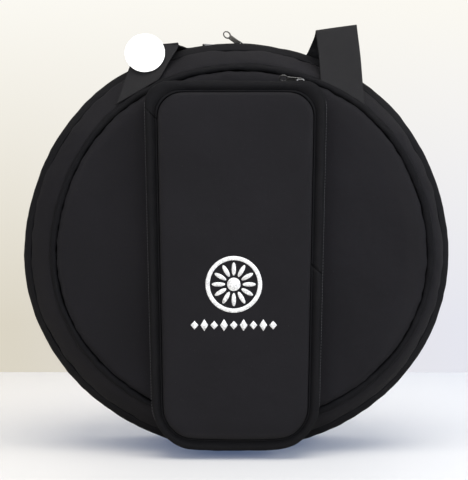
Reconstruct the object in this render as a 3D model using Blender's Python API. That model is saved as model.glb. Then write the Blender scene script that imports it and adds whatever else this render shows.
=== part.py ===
"""Round padded bag for a snare drum and cymbals, with a stick pocket on its face.

Metres, +Z up, the face towards -Y, origin on the floor below the middle of the bag.
The bag stands on the short flat of its rim. Its zip runs round the crest of the rim,
the front half is a lid hinged at the floor, and one long handle is sewn in the front seam.
"""

import math

import bmesh
import bpy
from mathutils import Matrix, Vector

# Clearance between pieces that touch in use
SEAT_GAP = 0.0003

# Round outline seen from the front
RIM_RADIUS = 0.270
RIM_CENTRE_HEIGHT = 0.2465
SOLE_CUT = 0.0022
RIM_STEPS = 64

# Depth of the bag, measured from the crest of the rim
FACE_DEPTH = 0.047
BACK_DEPTH = 0.114

# Padded walls
WALL_THICKNESS = 0.007
LINING_THICKNESS = 0.001
COVER_THICKNESS = 0.002
PANEL_FOAM_THICKNESS = 0.006

# Front half: band over the crest, sloping gusset, roll in the seam, face
BAND_FRONT_DEPTH = 0.012
BAND_FRONT_INSET = 0.010
BAND_BACK_DEPTH = 0.003
BAND_THICKNESS = 0.0078
BAND_CROWN_SHARES = (0.42, 0.26)
BAND_EDGE_SHARE = 0.08
BAND_RIB_SHARES = (0.3, 1.1)
GUSSET_FRONT_DEPTH = 0.036
GUSSET_FRONT_INSET = 0.032
ROLL_RADIUS = 0.004
ROLL_SEAT_SHARE = 0.3
FACE_INSET = 0.041
FACE_EDGE_ROUND = 0.010
FACE_CROWN_SHARES = ((0.0, 0.0), (0.3, 0.15), (0.75, 0.5), (0.95, 1.3), (1.0, 2.9))
FOAM_INSET_SHARE = 0.75

# Main zip, set in behind the crest
ZIP_DEPTH = 0.010
ZIP_INSET = 0.006
COIL_HEIGHT = 0.0024
COIL_WIDTH = 0.002
COIL_SLOT = 0.003
TAPE_THICKNESS = 0.001
BACK_TAPE_END_DEPTH = 0.020
GUSSET_SWELL_DEPTH = 0.010
GUSSET_SWELL_SHARES = (0.4, 0.3)
GUSSET_EDGE_SHARE = 0.6

# Back half
BACK_PIPING_RADIUS = 0.003
BACK_COVER_ROUND_SHARES = (2, 6)
HINGE_STRIP_WIDTH = 0.024
HINGE_STRIP_THICKNESS = 0.002
END_TAB_LENGTH = 0.026
END_TAB_ANGLE = math.radians(-52.0)

# Padded divider, hinged on a tape at the bottom
DIVIDER_DEPTH = 0.053
DIVIDER_THICKNESS = 0.006
DIVIDER_INSET = 0.013
DIVIDER_BINDING_WIDTH = 0.008
DIVIDER_BINDING_THICKNESS = 0.0012
DIVIDER_TAPE_WIDTH = 0.050
DIVIDER_TAPE_THICKNESS = 0.002

# Sliders and pulls: length, width, plate, channel
SLIDER_LENGTH = 0.015
SLIDER_WIDTH = 0.012
PLATE_THICKNESS = 0.0014
CHANNEL_HEIGHT = 0.0042
WEB_HALF_THICKNESS = 0.0008
LIP_THICKNESS = 0.0007
LIP_HEIGHT = 0.0009
NOSE_LENGTH = 0.0035
NOSE_WIDTH_SHARE = 0.88
BAIL_LENGTH = 0.009
BAIL_HEIGHT = 0.004
BAIL_BAR = 0.0012
BAIL_WIDTH = 0.003
PULL_LENGTH = 0.033
PULL_WIDTH = 0.0095
PULL_THICKNESS = 0.0014
PULL_PIN_HALF = 0.0008
PULL_WINDOW_LENGTH = 0.0058
PULL_WINDOW_WIDTH = 0.0044
PULL_RING_LENGTH = 0.0085
PULL_RING_WIDTH = 0.0062
PIN_HEIGHT = 0.0016
SLIDER_MEETING_GAP = 0.004
RIGHT_PULL_LIFT = math.radians(36.0)
LEFT_PULL_LIFT = math.radians(4.0)

# Stick pocket on the face
POCKET_TOP = 0.460
POCKET_BOTTOM = 0.008
POCKET_HALF_WIDTH_TOP = 0.1125
POCKET_HALF_WIDTH_BOTTOM = 0.1035
POCKET_BASE_CORNER = 0.036
POCKET_ZIP_CORNER = 0.024
POCKET_FACE_CORNER = 0.036
POCKET_CORNER_STEPS = 8
POCKET_BACK_THICKNESS = 0.0012
POCKET_WALL = 0.004
POCKET_SHOULDER_SHARES = (1.6, 0.42)
POCKET_TURN_SHARES = (0.7, 0.5)
POCKET_REAR_WALL_DEPTH = 0.0095
POCKET_ZIP_DEPTH = 0.016
POCKET_ZIP_INSET = 0.003
POCKET_ZIP_CLEAR = 0.0055
POCKET_DEPTH = 0.041
POCKET_FACE_INSET = 0.020
POCKET_FACE_THICKNESS = 0.004
POCKET_FACE_ROUND = 0.003
POCKET_FACE_ROUND_SHARES = ((0.4, 0.0), (0.85, 0.5), (1.0, 2.0))
POCKET_PIPING_RADIUS = 0.0016
FLAP_LEFT_X = -0.096
FLAP_LEFT_Z = 0.412
FLAP_RIGHT_X = 0.103
FLAP_RIGHT_Z = 0.225
FLAP_KERF = 0.0006
POCKET_SLIDER_BACK = 0.0027
POCKET_SLIDER_SHARE = 0.86
POCKET_PULL_LIFT = math.radians(8.0)
END_STITCH_LENGTH = 0.012
END_STITCH_DROP_SHARE = 0.6

# Handle: two legs sewn into the seam, and the long middle thrown back over the rim
STRAP_WIDTH = 0.0525
STRAP_THICKNESS = 0.002
FOLD_DEPTH = -0.022
FOLD_GAP = 0.0007
FOLD_START = 0.0013
FOLD_DROP = 0.0032
RIGHT_FOLD_SHARE = 0.4704
RIGHT_FOLD_RISE = 0.0474
LEFT_FOLD_SHARE = -0.3633
LEFT_FOLD_RISE = 0.015
RIGHT_TOP_SHARES = (0.3752, 0.5659)
RIGHT_TOP_RISES = (0.0316, 0.0669)
LEFT_TOP_SHARES = (-0.2678, -0.4589)
LEFT_TOP_RISES = (0.0036, 0.0278)
RIGHT_FOOT_SHARES = (0.3889, 0.5889)
LEFT_FOOT_SHARES = (-0.3407, -0.5370)
LEG_START_DEPTH = 0.0335
LEG_START_LIFT = 0.0026
STRAP_REST_LIFT = 0.0065
STRAP_ACROSS_SHARES = (
    0.4667,
    0.4556,
    0.4148,
    0.3444,
    0.2593,
    0.1481,
    0.0444,
    -0.1,
    -0.1926,
    -0.2667,
    -0.3185,
    -0.3519,
    -0.3611,
)
STRAP_DEPTHS = (
    -0.004,
    0.014,
    0.032,
    0.045,
    0.0515,
    0.052,
    0.052,
    0.052,
    0.050,
    0.043,
    0.028,
    0.008,
    -0.008,
)
STRAP_LIFTS = (
    0.0347,
    0.0296,
    0.0218,
    0.009,
    0.0008,
    0.0,
    0.0,
    0.0,
    0.0004,
    0.0023,
    0.0056,
    0.0078,
    0.0067,
)
STRAP_TURN_SHARES = (
    (1.0, 0.0),
    (0.98, 0.18),
    (0.78, 0.62),
    (0.40, 0.92),
    (0.10, 1.0),
    (0.0, 1.0),
    (0.0, 1.0),
    (0.0, 1.0),
    (-0.12, 1.0),
    (-0.40, 0.92),
    (-0.78, 0.62),
    (-0.97, 0.24),
    (-1.0, 0.0),
)

# Round card tag on the left leg, held by a headed pin
TAG_RADIUS = 0.025
TAG_THICKNESS = 0.001
TAG_HOLE_RADIUS = 0.0016
TAG_HOLE_OFFSET = 0.0108
TAG_ALONG_SHARE = 0.95
TAG_ACROSS_SHARE = 0.778
TAG_STAND_OFF = 0.0048
TAG_SHAFT_RADIUS = 0.0008
TAG_HEAD_RADIUS = 0.0027
TAG_HEAD_THICKNESS = 0.0009
TAG_HEAD_ROUND_SHARE = 0.8
TAG_BACK_LENGTH = 0.0009
TAG_BACK_THICKNESS = 0.0006
STRAP_EYE_RADIUS = 0.0012
ROUND_STEPS = 20

# Reach of a cutter past the faces it cuts, and the angle below which edges shade smooth
OVERRUN = 0.002
SMOOTH_UNDER = math.radians(40.0)

# Pieces carried by each moving group
LID_NODES = (
    "front_gusset",
    "front_gusset_lining",
    "front_panel_cover",
    "front_panel_foam",
    "front_panel_lining",
    "front_seam_roll",
    "rim_band",
    "main_zip_front",
    "handle_leg_left",
    "handle_leg_right",
    "tag_pin",
    "pocket_back",
    "pocket_rear_wall",
    "pocket_lower_wall",
    "pocket_lower_face",
    "pocket_lower_piping",
    "pocket_zip_rear",
    "pocket_zip_end_patch",
)
FLAP_NODES = (
    "pocket_flap_face",
    "pocket_flap_wall",
    "pocket_flap_piping",
    "pocket_zip_flap",
)
DIVIDER_NODES = (
    "divider_pad",
    "divider_binding_front",
    "divider_binding_back",
    "divider_hinge_tape",
)


def clear_scene():
    for obj in list(bpy.data.objects):
        bpy.data.objects.remove(obj, do_unlink=True)


def material(name, colour, roughness, metallic=0.0):
    made = bpy.data.materials.new(name)
    made.use_nodes = True
    shader = made.node_tree.nodes["Principled BSDF"]
    shader.inputs["Base Color"].default_value = (*colour, 1.0)
    shader.inputs["Roughness"].default_value = roughness
    shader.inputs["Metallic"].default_value = metallic
    return made


def finish(bm, name, surface):
    """Turn a bmesh into a named object with its faces pointing out."""
    bmesh.ops.recalc_face_normals(bm, faces=bm.faces[:])
    mesh = bpy.data.meshes.new(name)
    bm.to_mesh(mesh)
    bm.free()
    mesh.materials.append(surface)
    mesh.shade_smooth()
    mesh.set_sharp_from_angle(angle=SMOOTH_UNDER)
    obj = bpy.data.objects.new(name, mesh)
    bpy.context.scene.collection.objects.link(obj)
    return obj


def skin(loops, ring):
    """Join loops of points in turn; the last meets the first in a ring, or both ends are capped."""
    bm = bmesh.new()
    rows = [[bm.verts.new(point) for point in loop] for loop in loops]
    pairs = list(zip(rows, rows[1:]))
    if ring:
        pairs.append((rows[-1], rows[0]))
    for low, high in pairs:
        for i in range(len(low)):
            j = (i + 1) % len(low)
            bm.faces.new((low[i], low[j], high[j], high[i]))
    if not ring:
        bm.faces.new(rows[0])
        bm.faces.new(rows[-1])
    return bm


def rim_point(angle, depth, inset):
    """A point drawn in from the rim by inset; the upper half is round and the lower is pressed flat."""
    reach = RIM_RADIUS - inset
    drop = RIM_CENTRE_HEIGHT + SOLE_CUT - inset
    up = (reach if math.sin(angle) > 0 else drop) * math.sin(angle)
    return Vector((reach * math.cos(angle), depth, max(RIM_CENTRE_HEIGHT + up, inset)))


def rim_loop(depth, inset):
    turn = 2 * math.pi / RIM_STEPS
    return [rim_point(turn * (step + 0.5), depth, inset) for step in range(RIM_STEPS)]


def rim_ring(name, section, surface):
    """A ring that follows the rim, from a closed section of (depth, inset) corners."""
    return finish(skin([rim_loop(*corner) for corner in section], True), name, surface)


def rim_slab(name, rows, surface):
    """A round panel from (depth, inset) rows, closed by flat caps."""
    return finish(skin([rim_loop(*row) for row in rows], False), name, surface)


def round_section(depth, inset, radius, steps=8):
    turn = 2 * math.pi / steps
    return [
        (depth + radius * math.cos(turn * step), inset + radius * math.sin(turn * step))
        for step in range(steps)
    ]


def box_bmesh(low, high):
    bm = bmesh.new()
    bmesh.ops.create_cube(bm, size=1.0)
    low, high = Vector(low), Vector(high)
    bmesh.ops.scale(bm, vec=high - low, verts=bm.verts[:])
    bmesh.ops.translate(bm, vec=(low + high) / 2, verts=bm.verts[:])
    return bm


def prism(outline, thickness):
    """An outline of (x, y) points, thickened evenly about its plane along z."""
    half = thickness / 2
    loops = [[Vector((x, y, z)) for x, y in outline] for z in (-half, half)]
    return skin(loops, False)


def boolean(obj, helper, operation):
    """Join or cut with a helper that shares the object's own frame."""
    helper.parent = obj
    helper.hide_render = True
    helper.display_type = "WIRE"
    modifier = obj.modifiers.new(operation.lower(), "BOOLEAN")
    modifier.operation = operation
    modifier.solver = "EXACT"
    modifier.object = helper


def gusset_slope():
    """Run and fall of the sloping gusset, and the unit step into the wall."""
    run = GUSSET_FRONT_DEPTH - BAND_FRONT_DEPTH
    fall = GUSSET_FRONT_INSET - BAND_FRONT_INSET
    length = math.hypot(run, fall)
    return run, fall, (fall / length, run / length)


def offset_section(start, end, near, far):
    """A strip parallel to the gusset's outer line, from near to far inside it."""
    step = gusset_slope()[2]
    lines = [
        [(depth + step[0] * off, inset + step[1] * off) for depth, inset in (start, end)]
        for off in (near, far)
    ]
    return lines[0] + lines[1][::-1]


def make_front_half(fabric, band, lining, foam, piping):
    step = gusset_slope()[2]
    seam = (-BAND_FRONT_DEPTH - SEAT_GAP, BAND_FRONT_INSET + SEAT_GAP)
    low = (-GUSSET_FRONT_DEPTH, GUSSET_FRONT_INSET)
    rim_ring("front_gusset", offset_section(seam, low, 0.0, WALL_THICKNESS), fabric)
    near = WALL_THICKNESS + SEAT_GAP
    rim_ring(
        "front_gusset_lining",
        offset_section(seam, low, near, near + LINING_THICKNESS),
        lining,
    )
    band_end = (-BAND_FRONT_DEPTH, BAND_FRONT_INSET)
    along, fall = BAND_CROWN_SHARES
    crown = (-BAND_FRONT_DEPTH * along, BAND_FRONT_INSET * fall)
    back, deep = BAND_RIB_SHARES
    section = [
        band_end,
        crown,
        (0.0, 0.0),
        (BAND_BACK_DEPTH, BAND_THICKNESS * BAND_EDGE_SHARE),
        (BAND_BACK_DEPTH, BAND_THICKNESS),
        (-BAND_BACK_DEPTH * back, BAND_THICKNESS * deep),
        (band_end[0] + step[0] * WALL_THICKNESS, band_end[1] + step[1] * WALL_THICKNESS),
    ]
    rim_ring("rim_band", section, band)
    centre = roll_centre()
    rim_ring("front_seam_roll", round_section(*centre, ROLL_RADIUS), piping)
    make_face(fabric, lining, foam)


def roll_centre():
    """Centre of the roll's section, seated against the end of the gusset's wall."""
    step = gusset_slope()[2]
    reach = ROLL_RADIUS + SEAT_GAP
    along = WALL_THICKNESS * ROLL_SEAT_SHARE
    return (
        -GUSSET_FRONT_DEPTH + step[0] * along - step[1] * reach,
        GUSSET_FRONT_INSET + step[1] * along + step[0] * reach,
    )


def make_face(fabric, lining, foam):
    """Crowned cover, foam board and lining of the round face."""
    rise = FACE_EDGE_ROUND
    back = -FACE_DEPTH + rise
    outer = [(back - rise * up, FACE_INSET + rise * along) for up, along in FACE_CROWN_SHARES]
    inner = [(depth + COVER_THICKNESS, inset) for depth, inset in outer[2:]]
    lip = (back, FACE_INSET + COVER_THICKNESS)
    rows = outer[::-1] + [lip] + inner
    rim_slab("front_panel_cover", rows, fabric)
    foam_front = -FACE_DEPTH + COVER_THICKNESS + SEAT_GAP
    foam_inset = FACE_INSET + rise * FACE_CROWN_SHARES[-1][1] * FOAM_INSET_SHARE
    rim_slab(
        "front_panel_foam",
        [(foam_front, foam_inset), (foam_front + PANEL_FOAM_THICKNESS, foam_inset)],
        foam,
    )
    lining_front = foam_front + PANEL_FOAM_THICKNESS + SEAT_GAP
    lining_inset = FACE_INSET + 2 * COVER_THICKNESS + SEAT_GAP
    rim_slab(
        "front_panel_lining",
        [(lining_front, lining_inset), (lining_front + LINING_THICKNESS, lining_inset)],
        lining,
    )


def zip_half_section(edge, bead, level):
    """Tape from its edge to the bead, with the bead's square section at the middle of the zip."""
    side = math.copysign(1.0, bead - edge)
    middle = level + COIL_HEIGHT / 2
    half = TAPE_THICKNESS / 2
    inner = bead - side * COIL_WIDTH
    return [
        (edge, middle - half),
        (inner, middle - half),
        (inner, level),
        (bead, level),
        (bead, level + COIL_HEIGHT),
        (inner, level + COIL_HEIGHT),
        (inner, middle + half),
        (edge, middle + half),
    ]


def make_main_zip(tape):
    front = zip_half_section(
        BAND_BACK_DEPTH + SEAT_GAP, ZIP_DEPTH - COIL_SLOT / 2, ZIP_INSET
    )
    back = zip_half_section(
        BACK_TAPE_END_DEPTH, ZIP_DEPTH + COIL_SLOT / 2, ZIP_INSET
    )
    rim_ring("main_zip_front", front, tape)
    rim_ring("main_zip_back", back, tape)


def make_back_half(fabric, lining, foam, piping, tape):
    start = BACK_TAPE_END_DEPTH + SEAT_GAP
    end = BACK_DEPTH - 2 * BACK_PIPING_RADIUS - 2 * SEAT_GAP
    along, fall = GUSSET_SWELL_SHARES
    section = [
        (start, ZIP_INSET),
        (start + GUSSET_SWELL_DEPTH * along, ZIP_INSET * fall),
        (start + GUSSET_SWELL_DEPTH, 0.0),
        (end, 0.0),
        (end, WALL_THICKNESS),
        (start + GUSSET_SWELL_DEPTH, WALL_THICKNESS),
        (start, ZIP_INSET + WALL_THICKNESS * GUSSET_EDGE_SHARE),
    ]
    rim_ring("back_gusset", section, fabric)
    near = WALL_THICKNESS + SEAT_GAP
    lining_start = start + GUSSET_SWELL_DEPTH + SEAT_GAP
    section = [
        (lining_start, near),
        (end, near),
        (end, near + LINING_THICKNESS),
        (lining_start, near + LINING_THICKNESS),
    ]
    rim_ring("back_gusset_lining", section, lining)
    piping_depth = BACK_DEPTH - BACK_PIPING_RADIUS
    piping_inset = BACK_PIPING_RADIUS + SEAT_GAP
    rim_ring(
        "back_seam_piping",
        round_section(piping_depth, piping_inset, BACK_PIPING_RADIUS),
        piping,
    )
    inset = piping_inset + BACK_PIPING_RADIUS + SEAT_GAP
    near, far = (COVER_THICKNESS * share for share in BACK_COVER_ROUND_SHARES)
    rows = [
        (BACK_DEPTH - 2 * BACK_PIPING_RADIUS, inset),
        (BACK_DEPTH - BACK_PIPING_RADIUS, inset),
        (BACK_DEPTH - BACK_PIPING_RADIUS + COVER_THICKNESS, inset + near),
        (BACK_DEPTH, inset + far),
    ]
    rim_slab("back_panel_cover", rows, fabric)
    inner = WALL_THICKNESS + LINING_THICKNESS + 2 * SEAT_GAP
    foam_back = BACK_DEPTH - 2 * BACK_PIPING_RADIUS - SEAT_GAP
    foam_front = foam_back - PANEL_FOAM_THICKNESS
    rim_slab("back_panel_foam", [(foam_front, inner), (foam_back, inner)], foam)
    lining_back = foam_front - SEAT_GAP
    rim_slab(
        "back_panel_lining",
        [(lining_back - LINING_THICKNESS, inner), (lining_back, inner)],
        lining,
    )
    make_zip_ends(tape)


def make_zip_ends(tape):
    """Strip sewn inside along the lid's hinge, and a tab over each end of the zip."""
    low = ZIP_INSET + COIL_HEIGHT + SEAT_GAP
    half = HINGE_STRIP_WIDTH / 2
    strip = box_bmesh(
        (-half, ZIP_DEPTH - (COIL_SLOT + COIL_WIDTH) / 2, low),
        (half, BACK_TAPE_END_DEPTH - 2 * SEAT_GAP, low + HINGE_STRIP_THICKNESS),
    )
    finish(strip, "hinge_strip", tape)
    for name, mirror in (("zip_end_tab_right", 1), ("zip_end_tab_left", -1)):
        inset = ZIP_INSET - TAPE_THICKNESS - SEAT_GAP
        front = ZIP_DEPTH + COIL_SLOT / 2
        back = BACK_TAPE_END_DEPTH - SEAT_GAP
        swing = END_TAB_LENGTH / RIM_RADIUS
        loops = []
        for depth, level in (
            (front, inset),
            (back, inset),
            (back, inset + TAPE_THICKNESS),
            (front, inset + TAPE_THICKNESS),
        ):
            points = []
            for share in (0.0, 1 / 3, 2 / 3, 1.0):
                point = rim_point(END_TAB_ANGLE + swing * share, depth, level)
                points.append(Vector((mirror * point.x, point.y, point.z)))
            loops.append(points)
        bars = [[loop[i] for loop in loops] for i in range(len(loops[0]))]
        finish(skin(bars, False), name, tape)


def make_divider(pad, tape):
    front = DIVIDER_DEPTH - DIVIDER_THICKNESS / 2
    back = DIVIDER_DEPTH + DIVIDER_THICKNESS / 2
    inset = DIVIDER_INSET
    rim_slab("divider_pad", [(front, inset), (back, inset)], pad)
    wrap = DIVIDER_BINDING_THICKNESS
    for name, near, far in (
        ("divider_binding_front", front - SEAT_GAP, front - SEAT_GAP - wrap),
        ("divider_binding_back", back + SEAT_GAP, back + SEAT_GAP + wrap),
    ):
        section = [
            (near, inset),
            (near, inset + DIVIDER_BINDING_WIDTH),
            (far, inset + DIVIDER_BINDING_WIDTH),
            (far, inset),
        ]
        rim_ring(name, section, tape)
    low = WALL_THICKNESS + LINING_THICKNESS + 3 * SEAT_GAP
    hem = box_bmesh(
        (-DIVIDER_TAPE_WIDTH / 2, DIVIDER_DEPTH - DIVIDER_TAPE_THICKNESS / 2, low),
        (
            DIVIDER_TAPE_WIDTH / 2,
            DIVIDER_DEPTH + DIVIDER_TAPE_THICKNESS / 2,
            inset - 2 * SEAT_GAP,
        ),
    )
    finish(hem, "divider_hinge_tape", tape)


def slider_profile(half, side):
    """Section across a slider: two plates on a web at the zip's middle, open on the given side of y."""
    top = CHANNEL_HEIGHT / 2
    plate = top + PLATE_THICKNESS
    lip = -half + LIP_THICKNESS
    web = WEB_HALF_THICKNESS
    low = top - LIP_HEIGHT
    upper = [
        (half, top),
        (half, plate),
        (-half, plate),
        (-half, low),
        (lip, low),
        (lip, top),
        (-web, top),
    ]
    lower = [(y, -z) for y, z in upper]
    corners = [(web, top)] + upper + lower[::-1] + [(web, -top)]
    return [(side * y, z) for y, z in corners]


def make_slider(name, frame, metal, scale=1.0, side=1):
    """Slider with x along the zip and the nose at +x, y across the zip, and z out."""
    half = scale * SLIDER_WIDTH / 2
    length = scale * SLIDER_LENGTH
    nose = scale * NOSE_LENGTH
    rows = (
        (-length / 2, half),
        (length / 2 - nose, half),
        (length / 2, half * NOSE_WIDTH_SHARE),
    )
    loops = [[Vector((x, y, z)) for y, z in slider_profile(wide, side)] for x, wide in rows]
    body = finish(skin(loops, False), name, metal)
    plate = CHANNEL_HEIGHT / 2 + PLATE_THICKNESS
    boolean(body, make_bail(name + "_bail", plate, metal), "UNION")
    body.matrix_world = frame
    return body


def make_bail(name, plate, metal):
    """Arch over the top plate that holds the pull's pin."""
    out = BAIL_LENGTH / 2
    into = out - BAIL_BAR
    foot = plate - PLATE_THICKNESS / 2
    crown = plate + BAIL_HEIGHT
    outline = [
        (-out, foot),
        (-out, crown - BAIL_BAR),
        (-into, crown),
        (into, crown),
        (out, crown - BAIL_BAR),
        (out, foot),
        (into, foot),
        (into, crown - BAIL_BAR),
        (-into, crown - BAIL_BAR),
        (-into, foot),
    ]
    half = BAIL_WIDTH / 2
    loops = [[Vector((x, y, z)) for x, z in outline] for y in (-half, half)]
    return finish(skin(loops, False), name, metal)


def capsule(length, width, start, steps=6):
    """Outline of a slot with round ends, running along +x from start."""
    radius = width / 2
    points = []
    for centre, first in ((start + length - radius, -90.0), (start + radius, 90.0)):
        for step in range(steps + 1):
            angle = math.radians(first + 180.0 * step / steps)
            points.append((centre + radius * math.cos(angle), radius * math.sin(angle)))
    return points


def make_pull(name, frame, metal, scale=1.0):
    """Flat pull with a window over the bail and a ring at its tip, pivoting about y at its own origin."""
    width = PULL_WIDTH
    length = scale * PULL_LENGTH
    outline = capsule(length + PULL_PIN_HALF, width, -PULL_PIN_HALF)
    square = [(x, y) for x, y in outline if x > width]
    square += [(-PULL_PIN_HALF, width / 2), (-PULL_PIN_HALF, -width / 2)]
    body = finish(prism(square, PULL_THICKNESS), name, metal)
    deep = PULL_THICKNESS + OVERRUN
    half = PULL_WINDOW_WIDTH / 2
    window = box_bmesh((PULL_PIN_HALF, -half, -deep), (PULL_WINDOW_LENGTH, half, deep))
    boolean(body, finish(window, name + "_window", metal), "DIFFERENCE")
    rim = (width - PULL_RING_WIDTH) / 2
    ring_start = length - rim - PULL_RING_LENGTH
    ring = prism(capsule(PULL_RING_LENGTH, PULL_RING_WIDTH, ring_start), 2 * deep)
    boolean(body, finish(ring, name + "_ring", metal), "DIFFERENCE")
    body.matrix_world = frame
    return body


def frame_matrix(along, across, out, place):
    """A frame whose x, y and z run along, across and out, standing at a place."""
    turned = Matrix((along, across, out)).transposed().to_4x4()
    turned.translation = place
    return turned


def make_main_sliders(metal):
    """Two sliders nose to nose at the top of the rim, open towards the back half."""
    middle = RIM_RADIUS - ZIP_INSET - COIL_HEIGHT / 2
    centre = Vector((0.0, ZIP_DEPTH, RIM_CENTRE_HEIGHT))
    swing = (SLIDER_LENGTH + SLIDER_MEETING_GAP) / 2 / middle
    pin = middle + CHANNEL_HEIGHT / 2 + PLATE_THICKNESS + PIN_HEIGHT
    for side, sign in (("right", 1), ("left", -1)):
        turn = sign * swing
        out = Vector((math.sin(turn), 0.0, math.cos(turn)))
        clockwise = Vector((math.cos(turn), 0.0, -math.sin(turn)))
        across = Vector((0.0, -sign, 0.0))
        frame = frame_matrix(-sign * clockwise, across, out, centre + middle * out)
        make_slider("main_slider_" + side, frame, metal, side=-sign)
        lift = RIGHT_PULL_LIFT if sign > 0 else LEFT_PULL_LIFT
        along = Vector((-math.cos(lift), 0.0, math.sin(lift)))
        upward = Vector((math.sin(lift), 0.0, math.cos(lift)))
        frame = frame_matrix(along, Vector((0.0, -1.0, 0.0)), upward, centre + pin * out)
        make_pull("main_pull_" + side, frame, metal)


def pocket_base():
    """Depth of the face that carries the pocket."""
    return -FACE_DEPTH - SEAT_GAP


def corner_radius(depth):
    """Radius of the pocket's corners: tightest along the zip, rounder at the base and the face."""
    off = pocket_base() - depth - POCKET_ZIP_DEPTH
    if off > 0:
        share = max(off - POCKET_ZIP_CLEAR, 0.0) / (POCKET_DEPTH - POCKET_ZIP_DEPTH)
        return POCKET_ZIP_CORNER + (POCKET_FACE_CORNER - POCKET_ZIP_CORNER) * share
    share = max(-off - POCKET_ZIP_CLEAR, 0.0) / POCKET_ZIP_DEPTH
    return POCKET_ZIP_CORNER + (POCKET_BASE_CORNER - POCKET_ZIP_CORNER) * share


def pocket_loop(depth, inset):
    """Tapered rectangle with round corners at a depth, drawn in by inset."""
    top = POCKET_TOP - inset
    bottom = POCKET_BOTTOM + inset
    radius = corner_radius(depth)
    middle = (POCKET_HALF_WIDTH_TOP + POCKET_HALF_WIDTH_BOTTOM) / 2
    side = middle - inset
    points = []
    for sx, sz, first in ((1, 1, 0.0), (-1, 1, 90.0), (-1, -1, 180.0), (1, -1, 270.0)):
        cx = sx * (side - radius)
        cz = (top if sz > 0 else bottom) - sz * radius
        for step in range(POCKET_CORNER_STEPS + 1):
            angle = math.radians(first + 90.0 * step / POCKET_CORNER_STEPS)
            x = cx + radius * math.cos(angle)
            z = cz + radius * math.sin(angle)
            share = (z - POCKET_BOTTOM) / (POCKET_TOP - POCKET_BOTTOM)
            slope = (POCKET_HALF_WIDTH_TOP - POCKET_HALF_WIDTH_BOTTOM) * (share - 0.5)
            points.append(Vector((x * (middle + slope) / middle, depth, z)))
    return points


def flap_line():
    """Left end, unit direction and upward normal of the line that the flap folds on."""
    left = Vector((FLAP_LEFT_X, 0.0, FLAP_LEFT_Z))
    right = Vector((FLAP_RIGHT_X, 0.0, FLAP_RIGHT_Z))
    along = (right - left).normalized()
    return left, along, Vector((-along.z, 0.0, along.x))


def cut_pocket(bm, above):
    """Keep what lies above or below the fold line, short of it by half the kerf, and close the cut."""
    left, _, up = flap_line()
    away = up if above else -up
    bmesh.ops.bisect_plane(
        bm,
        geom=bm.verts[:] + bm.edges[:] + bm.faces[:],
        plane_co=left + away * FLAP_KERF / 2,
        plane_no=-away,
        clear_outer=True,
    )
    open_edges = [edge for edge in bm.edges if edge.is_boundary]
    bmesh.ops.holes_fill(bm, edges=open_edges, sides=0)
    return bm


def pocket_ring(section):
    return skin([pocket_loop(*corner) for corner in section], True)


def pocket_zip_section(rear):
    """Section of one half of the pocket's zip, on the straight band of the wall."""
    base = pocket_base() - POCKET_ZIP_DEPTH
    sign = 1 if rear else -1
    return zip_half_section(
        base + sign * POCKET_ZIP_CLEAR,
        base + sign * COIL_SLOT / 2,
        POCKET_ZIP_INSET + (POCKET_WALL - COIL_HEIGHT) / 2,
    )


def make_pocket(fabric, tape, piping, metal):
    base = pocket_base()
    rows = [(base, 0.0), (base - POCKET_BACK_THICKNESS, 0.0)]
    finish(skin([pocket_loop(*row) for row in rows], False), "pocket_back", fabric)
    rear_start = base - POCKET_BACK_THICKNESS - SEAT_GAP
    rear_end = base - POCKET_REAR_WALL_DEPTH
    section = [
        (rear_start, 0.0),
        (rear_end, POCKET_ZIP_INSET),
        (rear_end, POCKET_ZIP_INSET + POCKET_WALL),
        (rear_start, POCKET_WALL),
    ]
    finish(pocket_ring(section), "pocket_rear_wall", fabric)
    zip_middle = base - POCKET_ZIP_DEPTH
    front_start = zip_middle - POCKET_ZIP_CLEAR - SEAT_GAP
    front_end = base - POCKET_DEPTH + POCKET_FACE_THICKNESS
    wall_in = POCKET_FACE_INSET - POCKET_PIPING_RADIUS * 2
    low, high = POCKET_SHOULDER_SHARES
    back, down = POCKET_TURN_SHARES
    for name, start, above in (
        ("pocket_flap_wall", front_start, True),
        ("pocket_lower_wall", rear_end - SEAT_GAP, False),
    ):
        section = [
            (start, POCKET_ZIP_INSET),
            (front_start, POCKET_ZIP_INSET),
            ((front_start * 2 + front_end) / 3, POCKET_ZIP_INSET * low),
            ((front_start + front_end * 2) / 3, POCKET_ZIP_INSET + wall_in * high),
            (front_end, wall_in),
            (front_end + POCKET_WALL * back, wall_in + POCKET_WALL * down),
            (front_start, POCKET_ZIP_INSET + POCKET_WALL),
            (start, POCKET_ZIP_INSET + POCKET_WALL),
        ]
        if above:
            section = section[1:-1]
        finish(cut_pocket(pocket_ring(section), above), name, fabric)
    make_pocket_face(fabric, piping)
    for name, rear in (("pocket_zip_rear", True), ("pocket_zip_flap", False)):
        bm = cut_pocket(pocket_ring(pocket_zip_section(rear)), True)
        finish(bm, name, tape)
    make_pocket_slider(metal)
    make_end_stitch(tape)


def make_pocket_face(fabric, piping):
    """Face panel and its piping, each in the flap's part and the sewn part."""
    back = pocket_base() - POCKET_DEPTH + POCKET_FACE_THICKNESS
    inset = POCKET_FACE_INSET
    for name, above in (("pocket_flap_face", True), ("pocket_lower_face", False)):
        rows = [(back, inset)]
        for rise, into in POCKET_FACE_ROUND_SHARES:
            rows.append((back - POCKET_FACE_THICKNESS * rise, inset + POCKET_FACE_ROUND * into))
        loops = [pocket_loop(*row) for row in rows]
        finish(cut_pocket(skin(loops, False), above), name, fabric)
    depth = back - POCKET_PIPING_RADIUS
    level = inset - POCKET_PIPING_RADIUS - SEAT_GAP
    section = round_section(depth, level, POCKET_PIPING_RADIUS, 6)
    for name, above in (("pocket_flap_piping", True), ("pocket_lower_piping", False)):
        finish(cut_pocket(pocket_ring(section), above), name, piping)


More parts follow.
